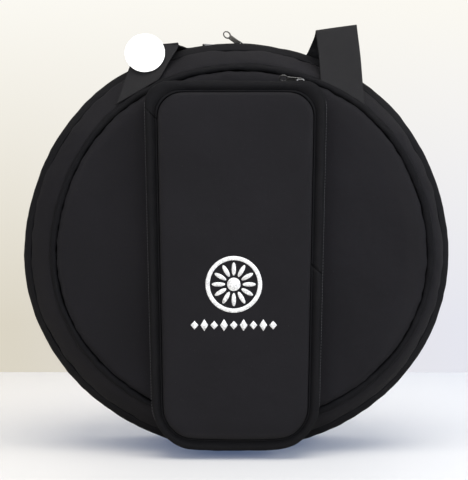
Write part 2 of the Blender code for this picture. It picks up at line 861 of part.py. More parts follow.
def make_pocket_slider(metal):
    """Slider at the right end of the pocket's top run, open towards the flap."""
    level = POCKET_ZIP_INSET + POCKET_WALL / 2
    depth = pocket_base() - POCKET_ZIP_DEPTH
    tangent = pocket_loop(depth, level)[POCKET_CORNER_STEPS].x
    place = Vector((tangent - POCKET_SLIDER_BACK, depth, POCKET_TOP - level))
    along = Vector((1.0, 0.0, 0.0))
    across = Vector((0.0, -1.0, 0.0))
    out = Vector((0.0, 0.0, 1.0))
    frame = frame_matrix(-along, across, out, place)
    make_slider("pocket_slider", frame, metal, POCKET_SLIDER_SHARE)
    pin = CHANNEL_HEIGHT / 2 + PLATE_THICKNESS + PIN_HEIGHT
    lift = POCKET_PULL_LIFT
    reach = Vector((-math.cos(lift), 0.0, math.sin(lift)))
    upward = Vector((math.sin(lift), 0.0, math.cos(lift)))
    frame = frame_matrix(reach, across, upward, place + pin * out)
    make_pull("pocket_pull", frame, metal, POCKET_SLIDER_SHARE)


def make_end_stitch(tape):
    """Bound patch that closes the pocket's zip at its right end, below the fold line."""
    base = pocket_base() - POCKET_ZIP_DEPTH
    left, along, up = flap_line()
    foot = left + along * (FLAP_RIGHT_X - FLAP_LEFT_X) / along.x
    side = POCKET_HALF_WIDTH_BOTTOM + (
        POCKET_HALF_WIDTH_TOP - POCKET_HALF_WIDTH_BOTTOM
    ) * (foot.z - POCKET_BOTTOM) / (POCKET_TOP - POCKET_BOTTOM)
    outer = side - POCKET_ZIP_INSET + 2 * SEAT_GAP
    high = foot.z - END_STITCH_LENGTH * END_STITCH_DROP_SHARE
    patch = box_bmesh(
        (outer, base - POCKET_ZIP_CLEAR, high - END_STITCH_LENGTH),
        (outer + TAPE_THICKNESS, base + POCKET_ZIP_CLEAR, high),
    )
    finish(patch, "pocket_zip_end_patch", tape)


def strap(name, stations, surface):
    """Flat webbing through (left edge, right edge) stations."""
    middles = [(left + right) / 2 for left, right in stations]
    loops = []
    for i, (left, right) in enumerate(stations):
        ahead = middles[min(i + 1, len(middles) - 1)] - middles[max(i - 1, 0)]
        thick = ahead.cross(right - left).normalized() * STRAP_THICKNESS / 2
        loops.append([left - thick, right - thick, right + thick, left + thick])
    return finish(skin(loops, False), name, surface)


def on_rim(x, depth, inset, lift):
    """The point over the front slope at an x, lifted off it outwards."""
    reach = RIM_RADIUS - inset + lift
    return Vector((x, depth, RIM_CENTRE_HEIGHT + math.sqrt(reach * reach - x * x)))


def over_rim(share, depth, rise):
    """A point at a share of the rim's radius across, standing a rise above its crest."""
    x = share * RIM_RADIUS
    return Vector((x, depth, RIM_CENTRE_HEIGHT + math.sqrt(RIM_RADIUS**2 - x * x) + rise))


def leg_stations(feet, tops, rises):
    """Edges of a leg from the seam straight up to its fold."""
    share = (LEG_START_DEPTH - BAND_FRONT_DEPTH) / (GUSSET_FRONT_DEPTH - BAND_FRONT_DEPTH)
    inset = BAND_FRONT_INSET + (GUSSET_FRONT_INSET - BAND_FRONT_INSET) * share
    lift = LEG_START_LIFT
    start = -LEG_START_DEPTH - lift / 2
    low = [on_rim(foot * RIM_RADIUS, start, inset, lift) for foot in feet]
    end = FOLD_DEPTH - FOLD_GAP / 2
    high = [over_rim(top, end, rise - FOLD_GAP) for top, rise in zip(tops, rises)]
    return [[a.lerp(b, share) for a, b in zip(low, high)] for share in (0.0, 0.5, 1.0)]


def right_leg():
    return leg_stations(RIGHT_FOOT_SHARES, RIGHT_TOP_SHARES, RIGHT_TOP_RISES)


def left_leg():
    return leg_stations(LEFT_FOOT_SHARES, LEFT_TOP_SHARES, LEFT_TOP_RISES)


def right_fold():
    return over_rim(RIGHT_FOLD_SHARE, FOLD_DEPTH, RIGHT_FOLD_RISE)


def left_fold():
    return over_rim(LEFT_FOLD_SHARE, FOLD_DEPTH, LEFT_FOLD_RISE)


def make_handle(webbing):
    strap("handle_leg_right", right_leg(), webbing)
    leg = strap("handle_leg_left", left_leg(), webbing)
    eye = tag_cylinder(STRAP_EYE_RADIUS, -TAG_STAND_OFF, TAG_STAND_OFF)
    boolean(leg, finish(eye, "strap_eye", webbing), "DIFFERENCE")
    strap("handle_middle", middle_stations(), webbing)


def middle_stations():
    """Edges of the handle's middle: back from one fold, round along the rim, and on to the other."""
    axis = (right_fold() - left_fold()).normalized()
    inset = Vector((0.0, FOLD_START, -FOLD_DROP))
    keys = [(right_fold() + inset, axis)]
    for share, depth, lift, (across, back) in zip(
        STRAP_ACROSS_SHARES, STRAP_DEPTHS, STRAP_LIFTS, STRAP_TURN_SHARES
    ):
        centre = over_rim(share, depth, STRAP_REST_LIFT + lift)
        keys.append((centre, Vector((across, back, axis.z * across))))
    keys.append((left_fold() + inset, -axis))
    return smooth_stations(keys, 2)


def smooth_stations(keys, parts):
    """Edges through every key, with parts steps between keys on a curve through their centres."""
    stations = []
    for i in range(len(keys) - 1):
        around = [keys[max(i - 1, 0)], keys[i], keys[i + 1], keys[min(i + 2, len(keys) - 1)]]
        for part in range(parts):
            share = part / parts
            centre = through(*(key[0] for key in around), share)
            width = keys[i][1].normalized().lerp(keys[i + 1][1].normalized(), share)
            stations.append((centre, width))
    stations.append(keys[-1])
    half = STRAP_WIDTH / 2
    return [(c - w.normalized() * half, c + w.normalized() * half) for c, w in stations]


def through(before, start, end, after, share):
    """Point of a curve that passes start and end with its neighbours' slopes."""
    rise = (end - before) / 2
    fall = (after - start) / 2
    square, cube = share * share, share**3
    return (
        start * (2 * cube - 3 * square + 1)
        + rise * (cube - 2 * square + share)
        + end * (3 * square - 2 * cube)
        + fall * (cube - square)
    )


def tag_frame():
    """Frame of the tag's pin on the left leg: x across, y up the leg's slope, z out of its front."""
    low, _, high = left_leg()
    foot = low[0].lerp(low[1], TAG_ACROSS_SHARE)
    top = high[0].lerp(high[1], TAG_ACROSS_SHARE)
    out = (top - foot).cross(high[1] - high[0]).normalized()
    across = Vector((0.0, 0.0, 1.0)).cross(out).normalized()
    up = out.cross(across)
    return frame_matrix(across, up, out, foot.lerp(top, TAG_ALONG_SHARE))


def round_outline(radius, steps=ROUND_STEPS):
    turn = 2 * math.pi / steps
    return [(radius * math.cos(turn * i), radius * math.sin(turn * i)) for i in range(steps)]


def tag_cylinder(radius, low, high):
    """Round bar along the pin's axis, placed in the world."""
    bm = skin([[Vector((x, y, z)) for x, y in round_outline(radius)] for z in (low, high)], False)
    bmesh.ops.transform(bm, matrix=tag_frame(), verts=bm.verts[:])
    return bm


def make_tag(card, plastic):
    frame = tag_frame()
    outline = round_outline(TAG_RADIUS, 3 * ROUND_STEPS)
    bm = prism([(x, y - TAG_HOLE_OFFSET) for x, y in outline], TAG_THICKNESS)
    tag = finish(bm, "hang_tag", card)
    hole = prism(round_outline(TAG_HOLE_RADIUS), TAG_THICKNESS + OVERRUN)
    boolean(tag, finish(hole, "tag_hole", card), "DIFFERENCE")
    tag.matrix_world = frame @ Matrix.Translation((0.0, 0.0, TAG_STAND_OFF))
    front = TAG_STAND_OFF + TAG_THICKNESS / 2 + SEAT_GAP
    back = -STRAP_THICKNESS / 2 - TAG_BACK_LENGTH
    profile = [
        (back, STRAP_EYE_RADIUS + TAG_SHAFT_RADIUS),
        (back + TAG_BACK_THICKNESS, STRAP_EYE_RADIUS + TAG_SHAFT_RADIUS),
        (back + TAG_BACK_THICKNESS, TAG_SHAFT_RADIUS),
        (front, TAG_SHAFT_RADIUS),
        (front, TAG_HEAD_RADIUS),
        (front + TAG_HEAD_THICKNESS, TAG_HEAD_RADIUS * TAG_HEAD_ROUND_SHARE),
    ]
    loops = [
        [Vector((x, y, z)) for x, y in round_outline(radius, ROUND_STEPS // 2)]
        for z, radius in profile
    ]
    pin = finish(skin(loops, False), "tag_pin", plastic)
    pin.matrix_world = frame


def empty(name, place, parent=None, above=Vector()):
    """An empty standing on a joint's axis, below its parent in the tree."""
    made = bpy.data.objects.new(name, None)
    bpy.context.scene.collection.objects.link(made)
    made.parent = parent
    made.location = place - above
    return made


def joint_places():
    """Each joint's name, parent, point on its axis and the pieces it carries."""
    ring = Vector((0.0, ZIP_DEPTH, RIM_CENTRE_HEIGHT))
    handle = right_fold().lerp(left_fold(), 0.5)
    flap = Vector((FLAP_LEFT_X, pocket_base() - POCKET_DEPTH, FLAP_LEFT_Z))
    carried = ("main_pull_right", "main_pull_left", "pocket_slider", "pocket_pull", "hang_tag")
    runs = {name: bpy.data.objects[name].matrix_world.translation for name in carried}
    divider = Vector((0.0, DIVIDER_DEPTH, WALL_THICKNESS + LINING_THICKNESS + 4 * SEAT_GAP))
    return (
        ("lid_axis", "bag", Vector((0.0, ZIP_DEPTH, 0.0)), LID_NODES),
        ("divider_axis", "bag", divider, DIVIDER_NODES),
        ("handle_axis", "lid_axis", handle, ("handle_middle",)),
        ("flap_axis", "lid_axis", flap, FLAP_NODES),
        ("right_slider_axis", "lid_axis", ring, ("main_slider_right",)),
        ("left_slider_axis", "lid_axis", ring, ("main_slider_left",)),
        ("right_pull_axis", "right_slider_axis", runs["main_pull_right"], ("main_pull_right",)),
        ("left_pull_axis", "left_slider_axis", runs["main_pull_left"], ("main_pull_left",)),
        ("pocket_slider_axis", "lid_axis", runs["pocket_slider"], ("pocket_slider",)),
        ("pocket_pull_axis", "pocket_slider_axis", runs["pocket_pull"], ("pocket_pull",)),
        ("tag_axis", "lid_axis", runs["hang_tag"], ("hang_tag",)),
    )


def hang_on_axes():
    """Hang the pieces from empties on their axes, and centre the bag's depth over the origin."""
    bpy.context.view_layer.update()
    places = joint_places()
    shift = (FACE_DEPTH + SEAT_GAP + POCKET_DEPTH - BACK_DEPTH) / 2
    made = {"bag": (empty("bag", Vector((0.0, shift, 0.0))), Vector())}
    for name, above, place, _ in places:
        parent, start = made[above]
        made[name] = (empty(name, place, parent, start), place.copy())
    carriers = {node: name for name, _, _, nodes in places for node in nodes}
    for obj in list(bpy.data.objects):
        if obj.type != "MESH" or obj.parent:
            continue
        carrier, place = made[carriers.get(obj.name, "bag")]
        obj.parent = carrier
        obj.matrix_parent_inverse = Matrix.Translation(-place)


def main():
    clear_scene()
    fabric = material("black_padded_fabric", (0.018, 0.017, 0.020), 0.75)
    band = material("black_edge_band", (0.014, 0.015, 0.020), 0.65)
    lining = material("black_lining", (0.02, 0.02, 0.022), 0.6)
    foam = material("grey_foam", (0.25, 0.25, 0.26), 0.9)
    piping = material("black_piping", (0.016, 0.016, 0.019), 0.6)
    tape = material("black_zip_tape", (0.012, 0.012, 0.014), 0.6)
    webbing = material("black_webbing", (0.022, 0.022, 0.025), 0.65)
    metal = material("dull_nickel", (0.55, 0.54, 0.51), 0.35, 1.0)
    card = material("white_card", (0.86, 0.86, 0.85), 0.6)
    plastic = material("clear_white_nylon", (0.8, 0.8, 0.8), 0.4)
    make_front_half(fabric, band, lining, foam, piping)
    make_main_zip(tape)
    make_back_half(fabric, lining, foam, piping, tape)
    make_divider(fabric, tape)
    make_main_sliders(metal)
    make_pocket(fabric, tape, piping, metal)
    make_handle(webbing)
    make_tag(card, plastic)
    hang_on_axes()


main()
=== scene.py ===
"""Looks of a round padded bag for a snare drum and cymbals, with a stick pocket on its face."""

import math
from functools import partial

import bmesh
import bpy
from mathutils import Matrix, Vector, noise
from mathutils.bvhtree import BVHTree
from mathutils.kdtree import KDTree


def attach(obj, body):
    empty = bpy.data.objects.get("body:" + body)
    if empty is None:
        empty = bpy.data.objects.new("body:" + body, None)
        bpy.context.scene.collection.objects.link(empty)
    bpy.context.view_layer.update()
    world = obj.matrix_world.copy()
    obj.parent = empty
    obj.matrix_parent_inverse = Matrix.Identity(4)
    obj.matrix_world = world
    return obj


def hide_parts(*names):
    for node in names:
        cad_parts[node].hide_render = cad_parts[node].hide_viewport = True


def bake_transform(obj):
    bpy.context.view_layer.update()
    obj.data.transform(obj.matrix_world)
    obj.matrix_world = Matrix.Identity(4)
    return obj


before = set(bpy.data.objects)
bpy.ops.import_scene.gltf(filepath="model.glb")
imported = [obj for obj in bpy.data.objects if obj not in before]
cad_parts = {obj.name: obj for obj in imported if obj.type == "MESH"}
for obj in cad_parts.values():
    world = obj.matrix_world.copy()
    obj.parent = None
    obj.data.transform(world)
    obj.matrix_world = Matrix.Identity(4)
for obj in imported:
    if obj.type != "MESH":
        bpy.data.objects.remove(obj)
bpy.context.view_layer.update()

# ---------------------------------------------------------------- Room: floor, wall, lamps, camera
# A matt paper floor that takes the shadow, before a plain wall. Both go from warm at the left to
# cool at the right. A wide soft lamp hangs over the bag, one stands at the right, and two weaker
# ones fill in from the left and the front.
FLOOR_WARM = (0.670, 0.632, 0.545, 1.0)
FLOOR_COOL = (0.630, 0.630, 0.615, 1.0)
FLOOR_BOUNCE = (0.32, 0.50, 1.0, 1.0)
FLOOR_BOUNCE_SHARE = 0.16
FLOOR_HEIGHT = -0.0004
WALL_WARM = (0.710, 0.665, 0.560, 1.0)
WALL_COOL = (0.790, 0.795, 0.865, 1.0)
WALL_TOP = (0.965, 0.945, 0.885, 1.0)
WALL_MATT = (0.8, 0.79, 0.77, 1.0)
WALL_FADE = (0.1, 0.75)
WALL_DISTANCE = 0.885
ROOM_REACH = 5
TONE_REACH = 0.45


def flat_panel(name, corners):
    """One flat face of the room."""
    bm = bmesh.new()
    bm.faces.new([bm.verts.new(corner) for corner in corners])
    mesh = bpy.data.meshes.new(name)
    bm.to_mesh(mesh)
    bm.free()
    made = bpy.data.objects.new(name, mesh)
    bpy.context.scene.collection.objects.link(made)
    return made


def feed(tree, node, takes):
    """Set each named input of a node, or link it to the output that is given for it."""
    for label, value in takes.items():
        if isinstance(value, bpy.types.NodeSocket):
            tree.links.new(value, node.inputs[label])
        else:
            node.inputs[label].default_value = value


def add_node(tree, kind, takes=(), **settings):
    """A new shader node of a kind, with its settings and its inputs."""
    node = tree.nodes.new("ShaderNode" + kind)
    for label, value in settings.items():
        setattr(node, label, value)
    feed(tree, node, dict(takes))
    return node


def maths(tree, operation, *values):
    """Output of a Math node fed with values or with other outputs."""
    return add_node(tree, "Math", enumerate(values), operation=operation).outputs[0]


def mixed(tree, share, first, second):
    """Colour that goes from the first to the second by a share."""
    takes = {"Factor": share, "A": first, "B": second}
    return add_node(tree, "Mix", takes, data_type="RGBA").outputs["Result"]


def between(tree, value, low, high):
    """Share, from nothing at the low value to one at the high."""
    takes = {"Value": value, "From Min": low, "From Max": high}
    return add_node(tree, "MapRange", takes).outputs["Result"]


def object_place(tree):
    """Place on the object, in metres."""
    return add_node(tree, "TexCoord").outputs["Object"]


def warm_to_cool(tree, warm, cool):
    """Colour that goes from warm at the left of the room to cool at the right."""
    across = add_node(tree, "SeparateXYZ", {0: object_place(tree)}).outputs["X"]
    return mixed(tree, between(tree, across, -TONE_REACH, TONE_REACH), warm, cool)


def shaders_mixed(tree, share, first, second):
    return add_node(tree, "MixShader", {0: share, 1: first, 2: second}).outputs[0]


def new_material(name):
    """A material with its node tree and its Principled shader."""
    made = bpy.data.materials.new(name)
    made.use_nodes = True
    return made, made.node_tree, made.node_tree.nodes["Principled BSDF"]


floor = flat_panel(
    "floor",
    [
        (across * ROOM_REACH, back * ROOM_REACH, FLOOR_HEIGHT)
        for across, back in ((-1, -1), (1, -1), (1, 1), (-1, 1))
    ],
)
paper, tree, shader = new_material("white_paper_floor")
feed(tree, shader, {"Roughness": 0.55, "Base Color": warm_to_cool(tree, FLOOR_WARM, FLOOR_COOL)})
in_view = add_node(tree, "LightPath").outputs["Is Camera Ray"]
bounce = add_node(tree, "Emission", {"Color": FLOOR_BOUNCE}).outputs[0]
share = maths(tree, "MULTIPLY", in_view, FLOOR_BOUNCE_SHARE)
finish = shaders_mixed(tree, share, shader.outputs[0], bounce)
tree.links.new(finish, tree.nodes["Material Output"].inputs["Surface"])
floor.data.materials.append(paper)

wall = flat_panel(
    "backdrop",
    [
        (across * ROOM_REACH, WALL_DISTANCE, up * ROOM_REACH)
        for across, up in ((-1, 0), (1, 0), (1, 1), (-1, 1))
    ],
)
plaster, tree, shader = new_material("pale_wall")
tree.nodes.remove(shader)
up = add_node(tree, "SeparateXYZ", {0: object_place(tree)}).outputs["Z"]
tone = warm_to_cool(tree, WALL_WARM, WALL_COOL)
tone = mixed(tree, between(tree, up, *WALL_FADE), tone, WALL_TOP)
glow = add_node(tree, "Emission", {"Color": tone}).outputs[0]
matt = add_node(tree, "BsdfDiffuse", {"Color": WALL_MATT}).outputs[0]
rays = add_node(tree, "LightPath").outputs
seen = maths(tree, "MAXIMUM", rays["Is Camera Ray"], rays["Is Glossy Ray"])
behind = add_node(tree, "NewGeometry").outputs["Backfacing"]
clear = add_node(tree, "BsdfTransparent").outputs[0]
finish = shaders_mixed(tree, behind, shaders_mixed(tree, seen, matt, glow), clear)
tree.links.new(finish, tree.nodes["Material Output"].inputs["Surface"])
wall.data.materials.append(plaster)

world = bpy.data.worlds.new("studio")
bpy.context.scene.world = world
world.use_nodes = True
tree = world.node_tree
ambient = tree.nodes["Background"]
feed(tree, ambient, {"Color": (0.93, 0.95, 1.0, 1.0), "Strength": 0.62})
sky = {"Color": (0.88, 0.88, 0.87, 1.0), "Strength": 1.0}
sky = add_node(tree, "Background", sky).outputs[0]
in_view = add_node(tree, "LightPath").outputs["Is Camera Ray"]
finish = shaders_mixed(tree, in_view, ambient.outputs[0], sky)
tree.links.new(finish, tree.nodes["World Output"].inputs["Surface"])

for name, spot, aim, wide, tall, power, colour in (
    ("overhead_lamp", (0.15, -0.75, 2.2), (0.0, -0.1, 0.2), 2.2, 1.4, 54.0, (1.0, 0.965, 0.91)),
    ("right_lamp", (2.3, -1.1, 1.1), (0.0, 0.0, 0.25), 1.2, 1.4, 34.0, (0.88, 0.93, 1.0)),
    ("left_fill", (-2.0, -1.4, 0.9), (0.0, 0.0, 0.25), 1.4, 1.4, 9.0, (1.0, 0.97, 0.93)),
    ("front_fill", (0.0, -2.4, 0.60), (0.0, 0.0, 0.05), 3.2, 0.9, 46.0, (0.95, 0.97, 1.0)),
):
    lamp = bpy.data.lights.new(name, "AREA")
    lamp.shape = "RECTANGLE"
    lamp.size = wide
    lamp.size_y = tall
    lamp.energy = power
    lamp.color = colour
    stand = bpy.data.objects.new(name, lamp)
    stand.location = spot
    stand.rotation_euler = (Vector(aim) - Vector(spot)).to_track_quat("-Z", "Y").to_euler()
    bpy.context.scene.collection.objects.link(stand)

lens = bpy.data.cameras.new("camera")
lens.sensor_fit = "HORIZONTAL"
lens.sensor_width = 36.0
lens.lens = 90.385
lens.shift_x = -0.0032
lens.shift_y = 0.0111
camera = bpy.data.objects.new("camera", lens)
camera.location = (0.0, -1.51285, 0.259)
camera.rotation_euler = (math.radians(90.0), 0.0, 0.0)
bpy.context.scene.collection.objects.link(camera)
bpy.context.scene.camera = camera
bpy.context.scene.view_settings.view_transform = "Standard"

# ---------------------------------------------------------------- Back half: padded gusset
# A strip of black polyester laminated to foam, bent round into the deep wall of the bag and
# sewn to the back panel by a piped seam. Its free edge is bound and carries the main zip.
CREST = -0.01285
REACH = 0.270
MIDDLE = Vector((0.0, 0.0, 0.2465))
BAG_AXIS = (0.0, 1.0, 0.0)
LONGEST_STEP = 0.018
SAME_POINT = 0.00002
FLAT_LOOK = 0.75
WALL_MAP_STRETCH = 1.15

# How the soft bag gives: its sole flattens, its upper corners bulge and its rim leans
SOLE_PRESS = 0.0213
SOLE_HEIGHT = 0.0004
SOLE_FIRM_REACH = 0.225
RIM_ZONE = 0.18
RIM_ZONE_FADE = 0.04
SHOULDER_BULGE = 0.0032
SHOULDER_TURN = (48.0, 20.0)
LEAN_RIGHT = 0.0024
LEAN_RIGHT_FROM = 0.20
LEAN_LOW_LEFT = 0.0034
LEAN_LOW_LEFT_TURN = (-55.0, 24.0)


def shader_group(name, takes, gives):
    """An empty shader group with its named sockets."""
    group = bpy.data.node_groups.new(name, "ShaderNodeTree")
    for label, kind, value in takes:
        socket = group.interface.new_socket(label, in_out="INPUT", socket_type="NodeSocket" + kind)
        if value is not None:
            socket.default_value = value
    for label, kind in gives:
        group.interface.new_socket(label, in_out="OUTPUT", socket_type="NodeSocket" + kind)
    into = group.nodes.new("NodeGroupInput").outputs
    out = group.nodes.new("NodeGroupOutput")
    return group, into, out


def speckle(tree, where, scale, detail=2.0, rough=0.5):
    """Noise over a surface, at so many blotches a metre."""
    takes = {"Vector": where, "Scale": scale, "Detail": detail, "Roughness": rough}
    return add_node(tree, "TexNoise", takes).outputs["Fac"]


# Plain weave: threads pass over and under each other, with slubs where the yarn is uneven
plain_weave, into, out = shader_group(
    "plain_weave",
    [("Cloth", "Vector", None), ("Threads", "Float", 1500.0), ("Slub", "Float", 0.35)],
    [("Height", "Float"), ("Slubs", "Float")],
)
work = partial(maths, plain_weave)
grid = {0: into["Cloth"], "Scale": into["Threads"]}
grid = add_node(plain_weave, "VectorMath", grid, operation="SCALE").outputs[0]
grid = add_node(plain_weave, "SeparateXYZ", {0: grid}).outputs
u, v = grid["X"], grid["Y"]
warp = work("ABSOLUTE", work("SINE", work("MULTIPLY", u, math.pi)))
weft = work("ABSOLUTE", work("SINE", work("MULTIPLY", v, math.pi)))
over = work("FLOORED_MODULO", work("ADD", work("FLOOR", u), work("FLOOR", v)), 2.0)
under = work("SUBTRACT", 1.0, over)
cross = work("ADD", work("MULTIPLY", over, warp), work("MULTIPLY", under, weft))
slubs = speckle(plain_weave, into["Cloth"], 260.0, 3.0, 0.7)
even = work("MULTIPLY", cross, work("SUBTRACT", 1.0, into["Slub"]))
height = work("ADD", even, work("MULTIPLY", slubs, into["Slub"]))
feed(plain_weave, out, {"Height": height, "Slubs": slubs})

# Worn and lit cloth: marked places go paler and smoother, raised and lower ones by wear and upper
# ones by painted top light, and a little lint sits everywhere
LINT = (0.075, 0.073, 0.072, 1.0)
worn_and_lit, into, out = shader_group(
    "worn_and_lit_cloth",
    [
        ("Cloth", "Vector", None),
        ("Colour", "Color", (0.02, 0.02, 0.02, 1.0)),
        ("Wear And Light Colour", "Color", (0.05, 0.048, 0.045, 1.0)),
        ("Wear And Light Share", "Float", 0.0),
        ("Roughness", "Float", 0.75),
        ("Slubs", "Float", 0.5),
    ],
    [("Colour", "Color"), ("Roughness", "Float")],
)
work = partial(maths, worn_and_lit)
patch = work("MULTIPLY_ADD", speckle(worn_and_lit, into["Cloth"], 9.0, 3.0), 0.7, 0.65)
shade = work("MULTIPLY", patch, work("MULTIPLY_ADD", into["Slubs"], 0.5, 0.75))
tinted = {0: into["Colour"], "Scale": shade}
tinted = add_node(worn_and_lit, "VectorMath", tinted, operation="SCALE").outputs[0]
patchy = speckle(worn_and_lit, into["Cloth"], 55.0, 3.0, 0.65)
wear_and_light_share = work("MULTIPLY", into["Wear And Light Share"], work("MULTIPLY", patchy, 1.5))
wear_and_light_share = add_node(worn_and_lit, "Clamp", {"Value": wear_and_light_share}).outputs[0]
lint = speckle(worn_and_lit, into["Cloth"], 620.0, 1.0)
fleck = work("MULTIPLY", work("GREATER_THAN", lint, 0.765), 0.35)
tone = mixed(worn_and_lit, fleck, mixed(worn_and_lit, wear_and_light_share, tinted, into["Wear And Light Colour"]), LINT)
smoother = work("ADD", into["Roughness"], work("MULTIPLY", wear_and_light_share, -0.12))
total = work("ADD", smoother, work("MULTIPLY_ADD", patchy, 0.12, -0.06))
feed(worn_and_lit, out, {"Colour": tone, "Roughness": total})


def woven_cloth(name, colour, wear_and_light, rough, threads, depth, swell, gloss):
    """Woven cloth on the piece's own cloth map, with thread relief and padding relief in metres."""
    made, tree, shader = new_material(name)
    where = add_node(tree, "UVMap", uv_map="cloth").outputs[0]
    # The marked share pales the cloth for wear and for painted top light
    edge = add_node(tree, "Attribute", attribute_name="paled_by_wear_and_light").outputs["Fac"]
    takes = {"Threads": threads, "Cloth": where}
    weave = add_node(tree, "Group", takes, node_tree=plain_weave).outputs
    takes = {
        "Colour": (*colour, 1.0),
        "Wear And Light Colour": (*wear_and_light, 1.0),
        "Roughness": rough, "Cloth": where, "Wear And Light Share": edge,
        "Slubs": weave["Slubs"],
    }
    tone = add_node(tree, "Group", takes, node_tree=worn_and_lit).outputs
    soft = maths(tree, "MULTIPLY", speckle(tree, where, 38.0, 3.0, 0.55), swell)
    relief = maths(tree, "ADD", soft, maths(tree, "MULTIPLY", weave["Height"], depth))
    takes = {"Distance": 1.0, "Strength": 1.0, "Height": relief}
    bump = add_node(tree, "Bump", takes).outputs[0]
    takes = {"Base Color": tone["Colour"], "Roughness": tone["Roughness"], "Normal": bump}
    feed(tree, shader, takes)
    feed(tree, shader, {"Specular IOR Level": gloss})
    return made


fabric = woven_cloth(
    "black_polyester",
    colour=(0.0056, 0.0053, 0.0068),
    # Paler colour for wear and for painted top light
    wear_and_light=(0.0125, 0.0120, 0.0128),
    rough=0.80, threads=1500.0, depth=0.00011, swell=0.0009, gloss=0.095,
)


def cross_section(points, closed=True):
    """A chain of points given as depth behind the crest and inset from the rim, set upright."""
    bm = bmesh.new()
    chain = []
    for start, end in zip(points, tuple(points[1:]) + tuple(points[:1])):
        parts = max(1, round(math.dist(start, end) / LONGEST_STEP))
        if end == points[0] and not closed:
            parts = 1
        for part in range(parts):
            chain.append(tuple(a + (b - a) * part / parts for a, b in zip(start, end)))
    row = [bm.verts.new((REACH - inset, depth + CREST, MIDDLE.z)) for depth, inset in chain]
    for pair in zip(row, row[1:] + row[:1] if closed else row[1:]):
        bm.edges.new(pair)
    return bm


def spun(bm, angle, steps, **how):
    """Spin a shape round the middle of the bag."""
    bmesh.ops.spin(
        bm,
        geom=bm.verts[:] + bm.edges[:] + bm.faces[:],
        cent=MIDDLE,
        axis=BAG_AXIS,
        dvec=(0.0, 0.0, 0.0),
        angle=angle, steps=steps, **how,
    )


def faced_out(bm):
    bmesh.ops.recalc_face_normals(bm, faces=bm.faces[:])
    return bm


def turn_round(bm, steps=160):
    """Spin a section once round the middle of the bag."""
    spun(bm, math.tau, steps, use_merge=True)
    bmesh.ops.remove_doubles(bm, verts=bm.verts[:], dist=SAME_POINT)
    return faced_out(bm)


def smoothed(bm):
    """Round a coarse shape off by one subdivision."""
    mesh = bpy.data.meshes.new("coarse")
    bm.to_mesh(mesh)
    coarse = bpy.data.objects.new("coarse", mesh)
    bpy.context.scene.collection.objects.link(coarse)
    modifier = coarse.modifiers.new("round", "SUBSURF")
    modifier.levels = modifier.render_levels = 1
    view = bpy.context.evaluated_depsgraph_get()
    fine = bpy.data.meshes.new_from_object(coarse.evaluated_get(view))
    bm.clear()
    bm.from_mesh(fine)
    bpy.data.objects.remove(coarse)
    bpy.data.meshes.remove(mesh)
    bpy.data.meshes.remove(fine)
    return bm


def polar(co):
    """Angle and distance of a point round the middle of the bag."""
    return math.atan2(co.z - MIDDLE.z, co.x), math.hypot(co.x, co.z - MIDDLE.z)


def moved_out(bm, amount):
    """Move every point along its normal, by an amount worked out from its place."""
    bm.normal_update()
    moves = [vert.normal * amount(vert.co) for vert in bm.verts]
    for vert, move in zip(bm.verts, moves):
        vert.co += move
    return bm


def sagged(bm, height, length, seed):
    """Let cloth wander off its shape by a height, over waves of a length."""
    start = Vector((seed, seed * 1.7, seed * 2.3))
    return moved_out(bm, lambda co: height * noise.noise(co / length + start))


def puckered(bm, seams, reach, height, spacing, seed):
    """Draw cloth into small puckers beside round seams, given as depth and inset."""

    def pucker(co):
        turn, away = polar(co)
        behind, inward = co.y - CREST, REACH - away
        near = min(math.hypot(behind - depth, inward - inset) for depth, inset in seams)
        at = Vector((math.cos(turn), math.sin(turn), 0.13 * seed)) * (away / spacing)
        return height * math.exp(-((near / reach) ** 2)) * noise.noise(at)

    return moved_out(bm, pucker)


def swell(value, middle, width):
    """Share that rises to one at the middle and fades over a width to both sides."""
    return math.exp(-(((value - middle) / width) ** 2))


def shoulder(co):
    """How far cloth near the rim bulges out over the bag's upper corners."""
    turn = abs(math.degrees(math.atan2(co.z - MIDDLE.z, abs(co.x))))
    out = Vector((co.x, 0.0, co.z - MIDDLE.z)).normalized()
    return out * SHOULDER_BULGE * swell(turn, *SHOULDER_TURN)


def leaned(co):
    """How far the rim has slumped to the right, most on that side and at the lower left."""
    if co.x > 0:
        return LEAN_RIGHT * min(co.x / LEAN_RIGHT_FROM, 1.0)
    turn = math.degrees(math.atan2(co.z - MIDDLE.z, -co.x))
    return LEAN_LOW_LEFT * swell(turn, *LEAN_LOW_LEFT_TURN)


def stood(bm):
    """Press the lower half down on the floor, and let the rim bulge and lean."""
    for vert in bm.verts:
        away = math.hypot(vert.co.x, vert.co.z - MIDDLE.z)
        share = min((away - RIM_ZONE) / RIM_ZONE_FADE, 1.0)
        if vert.co.z < MIDDLE.z and away > 1e-6:
            base = max(away, SOLE_FIRM_REACH)
            vert.co.z = MIDDLE.z + (vert.co.z - MIDDLE.z) * (base - SOLE_PRESS) / base
            vert.co.z = max(vert.co.z, REACH - away, SOLE_HEIGHT)
        elif away > RIM_ZONE:
            vert.co += shoulder(vert.co) * share
        if away > RIM_ZONE:
            vert.co.x += leaned(vert.co) * share
    return bm


def map_cloth(bm):
    """Map the cloth in metres: round the rim on walls, across and up on panels."""
    bm.normal_update()
    layer = bm.loops.layers.uv.verify()
    for face in bm.faces:
        flat = abs(face.normal.y) > FLAT_LOOK
        start = polar(face.calc_center_median())[0]
        for loop in face.loops:
            co = loop.vert.co
            if flat:
                loop[layer].uv = (co.x, co.z)
            else:
                turn = polar(co)[0]
                turn += math.tau * round((start - turn) / math.tau)
                loop[layer].uv = (turn * REACH, co.y * WALL_MAP_STRETCH)
    return bm


def wear_and_light_marks(bm, wear_and_light):
    """Mark how far each point is paled by wear and painted top light: a share, or a measure of its
    place.
    """
    layer = bm.verts.layers.float.new("paled_by_wear_and_light")
    for vert in bm.verts:
        vert[layer] = wear_and_light(vert.co) if callable(wear_and_light) else wear_and_light
    return bm


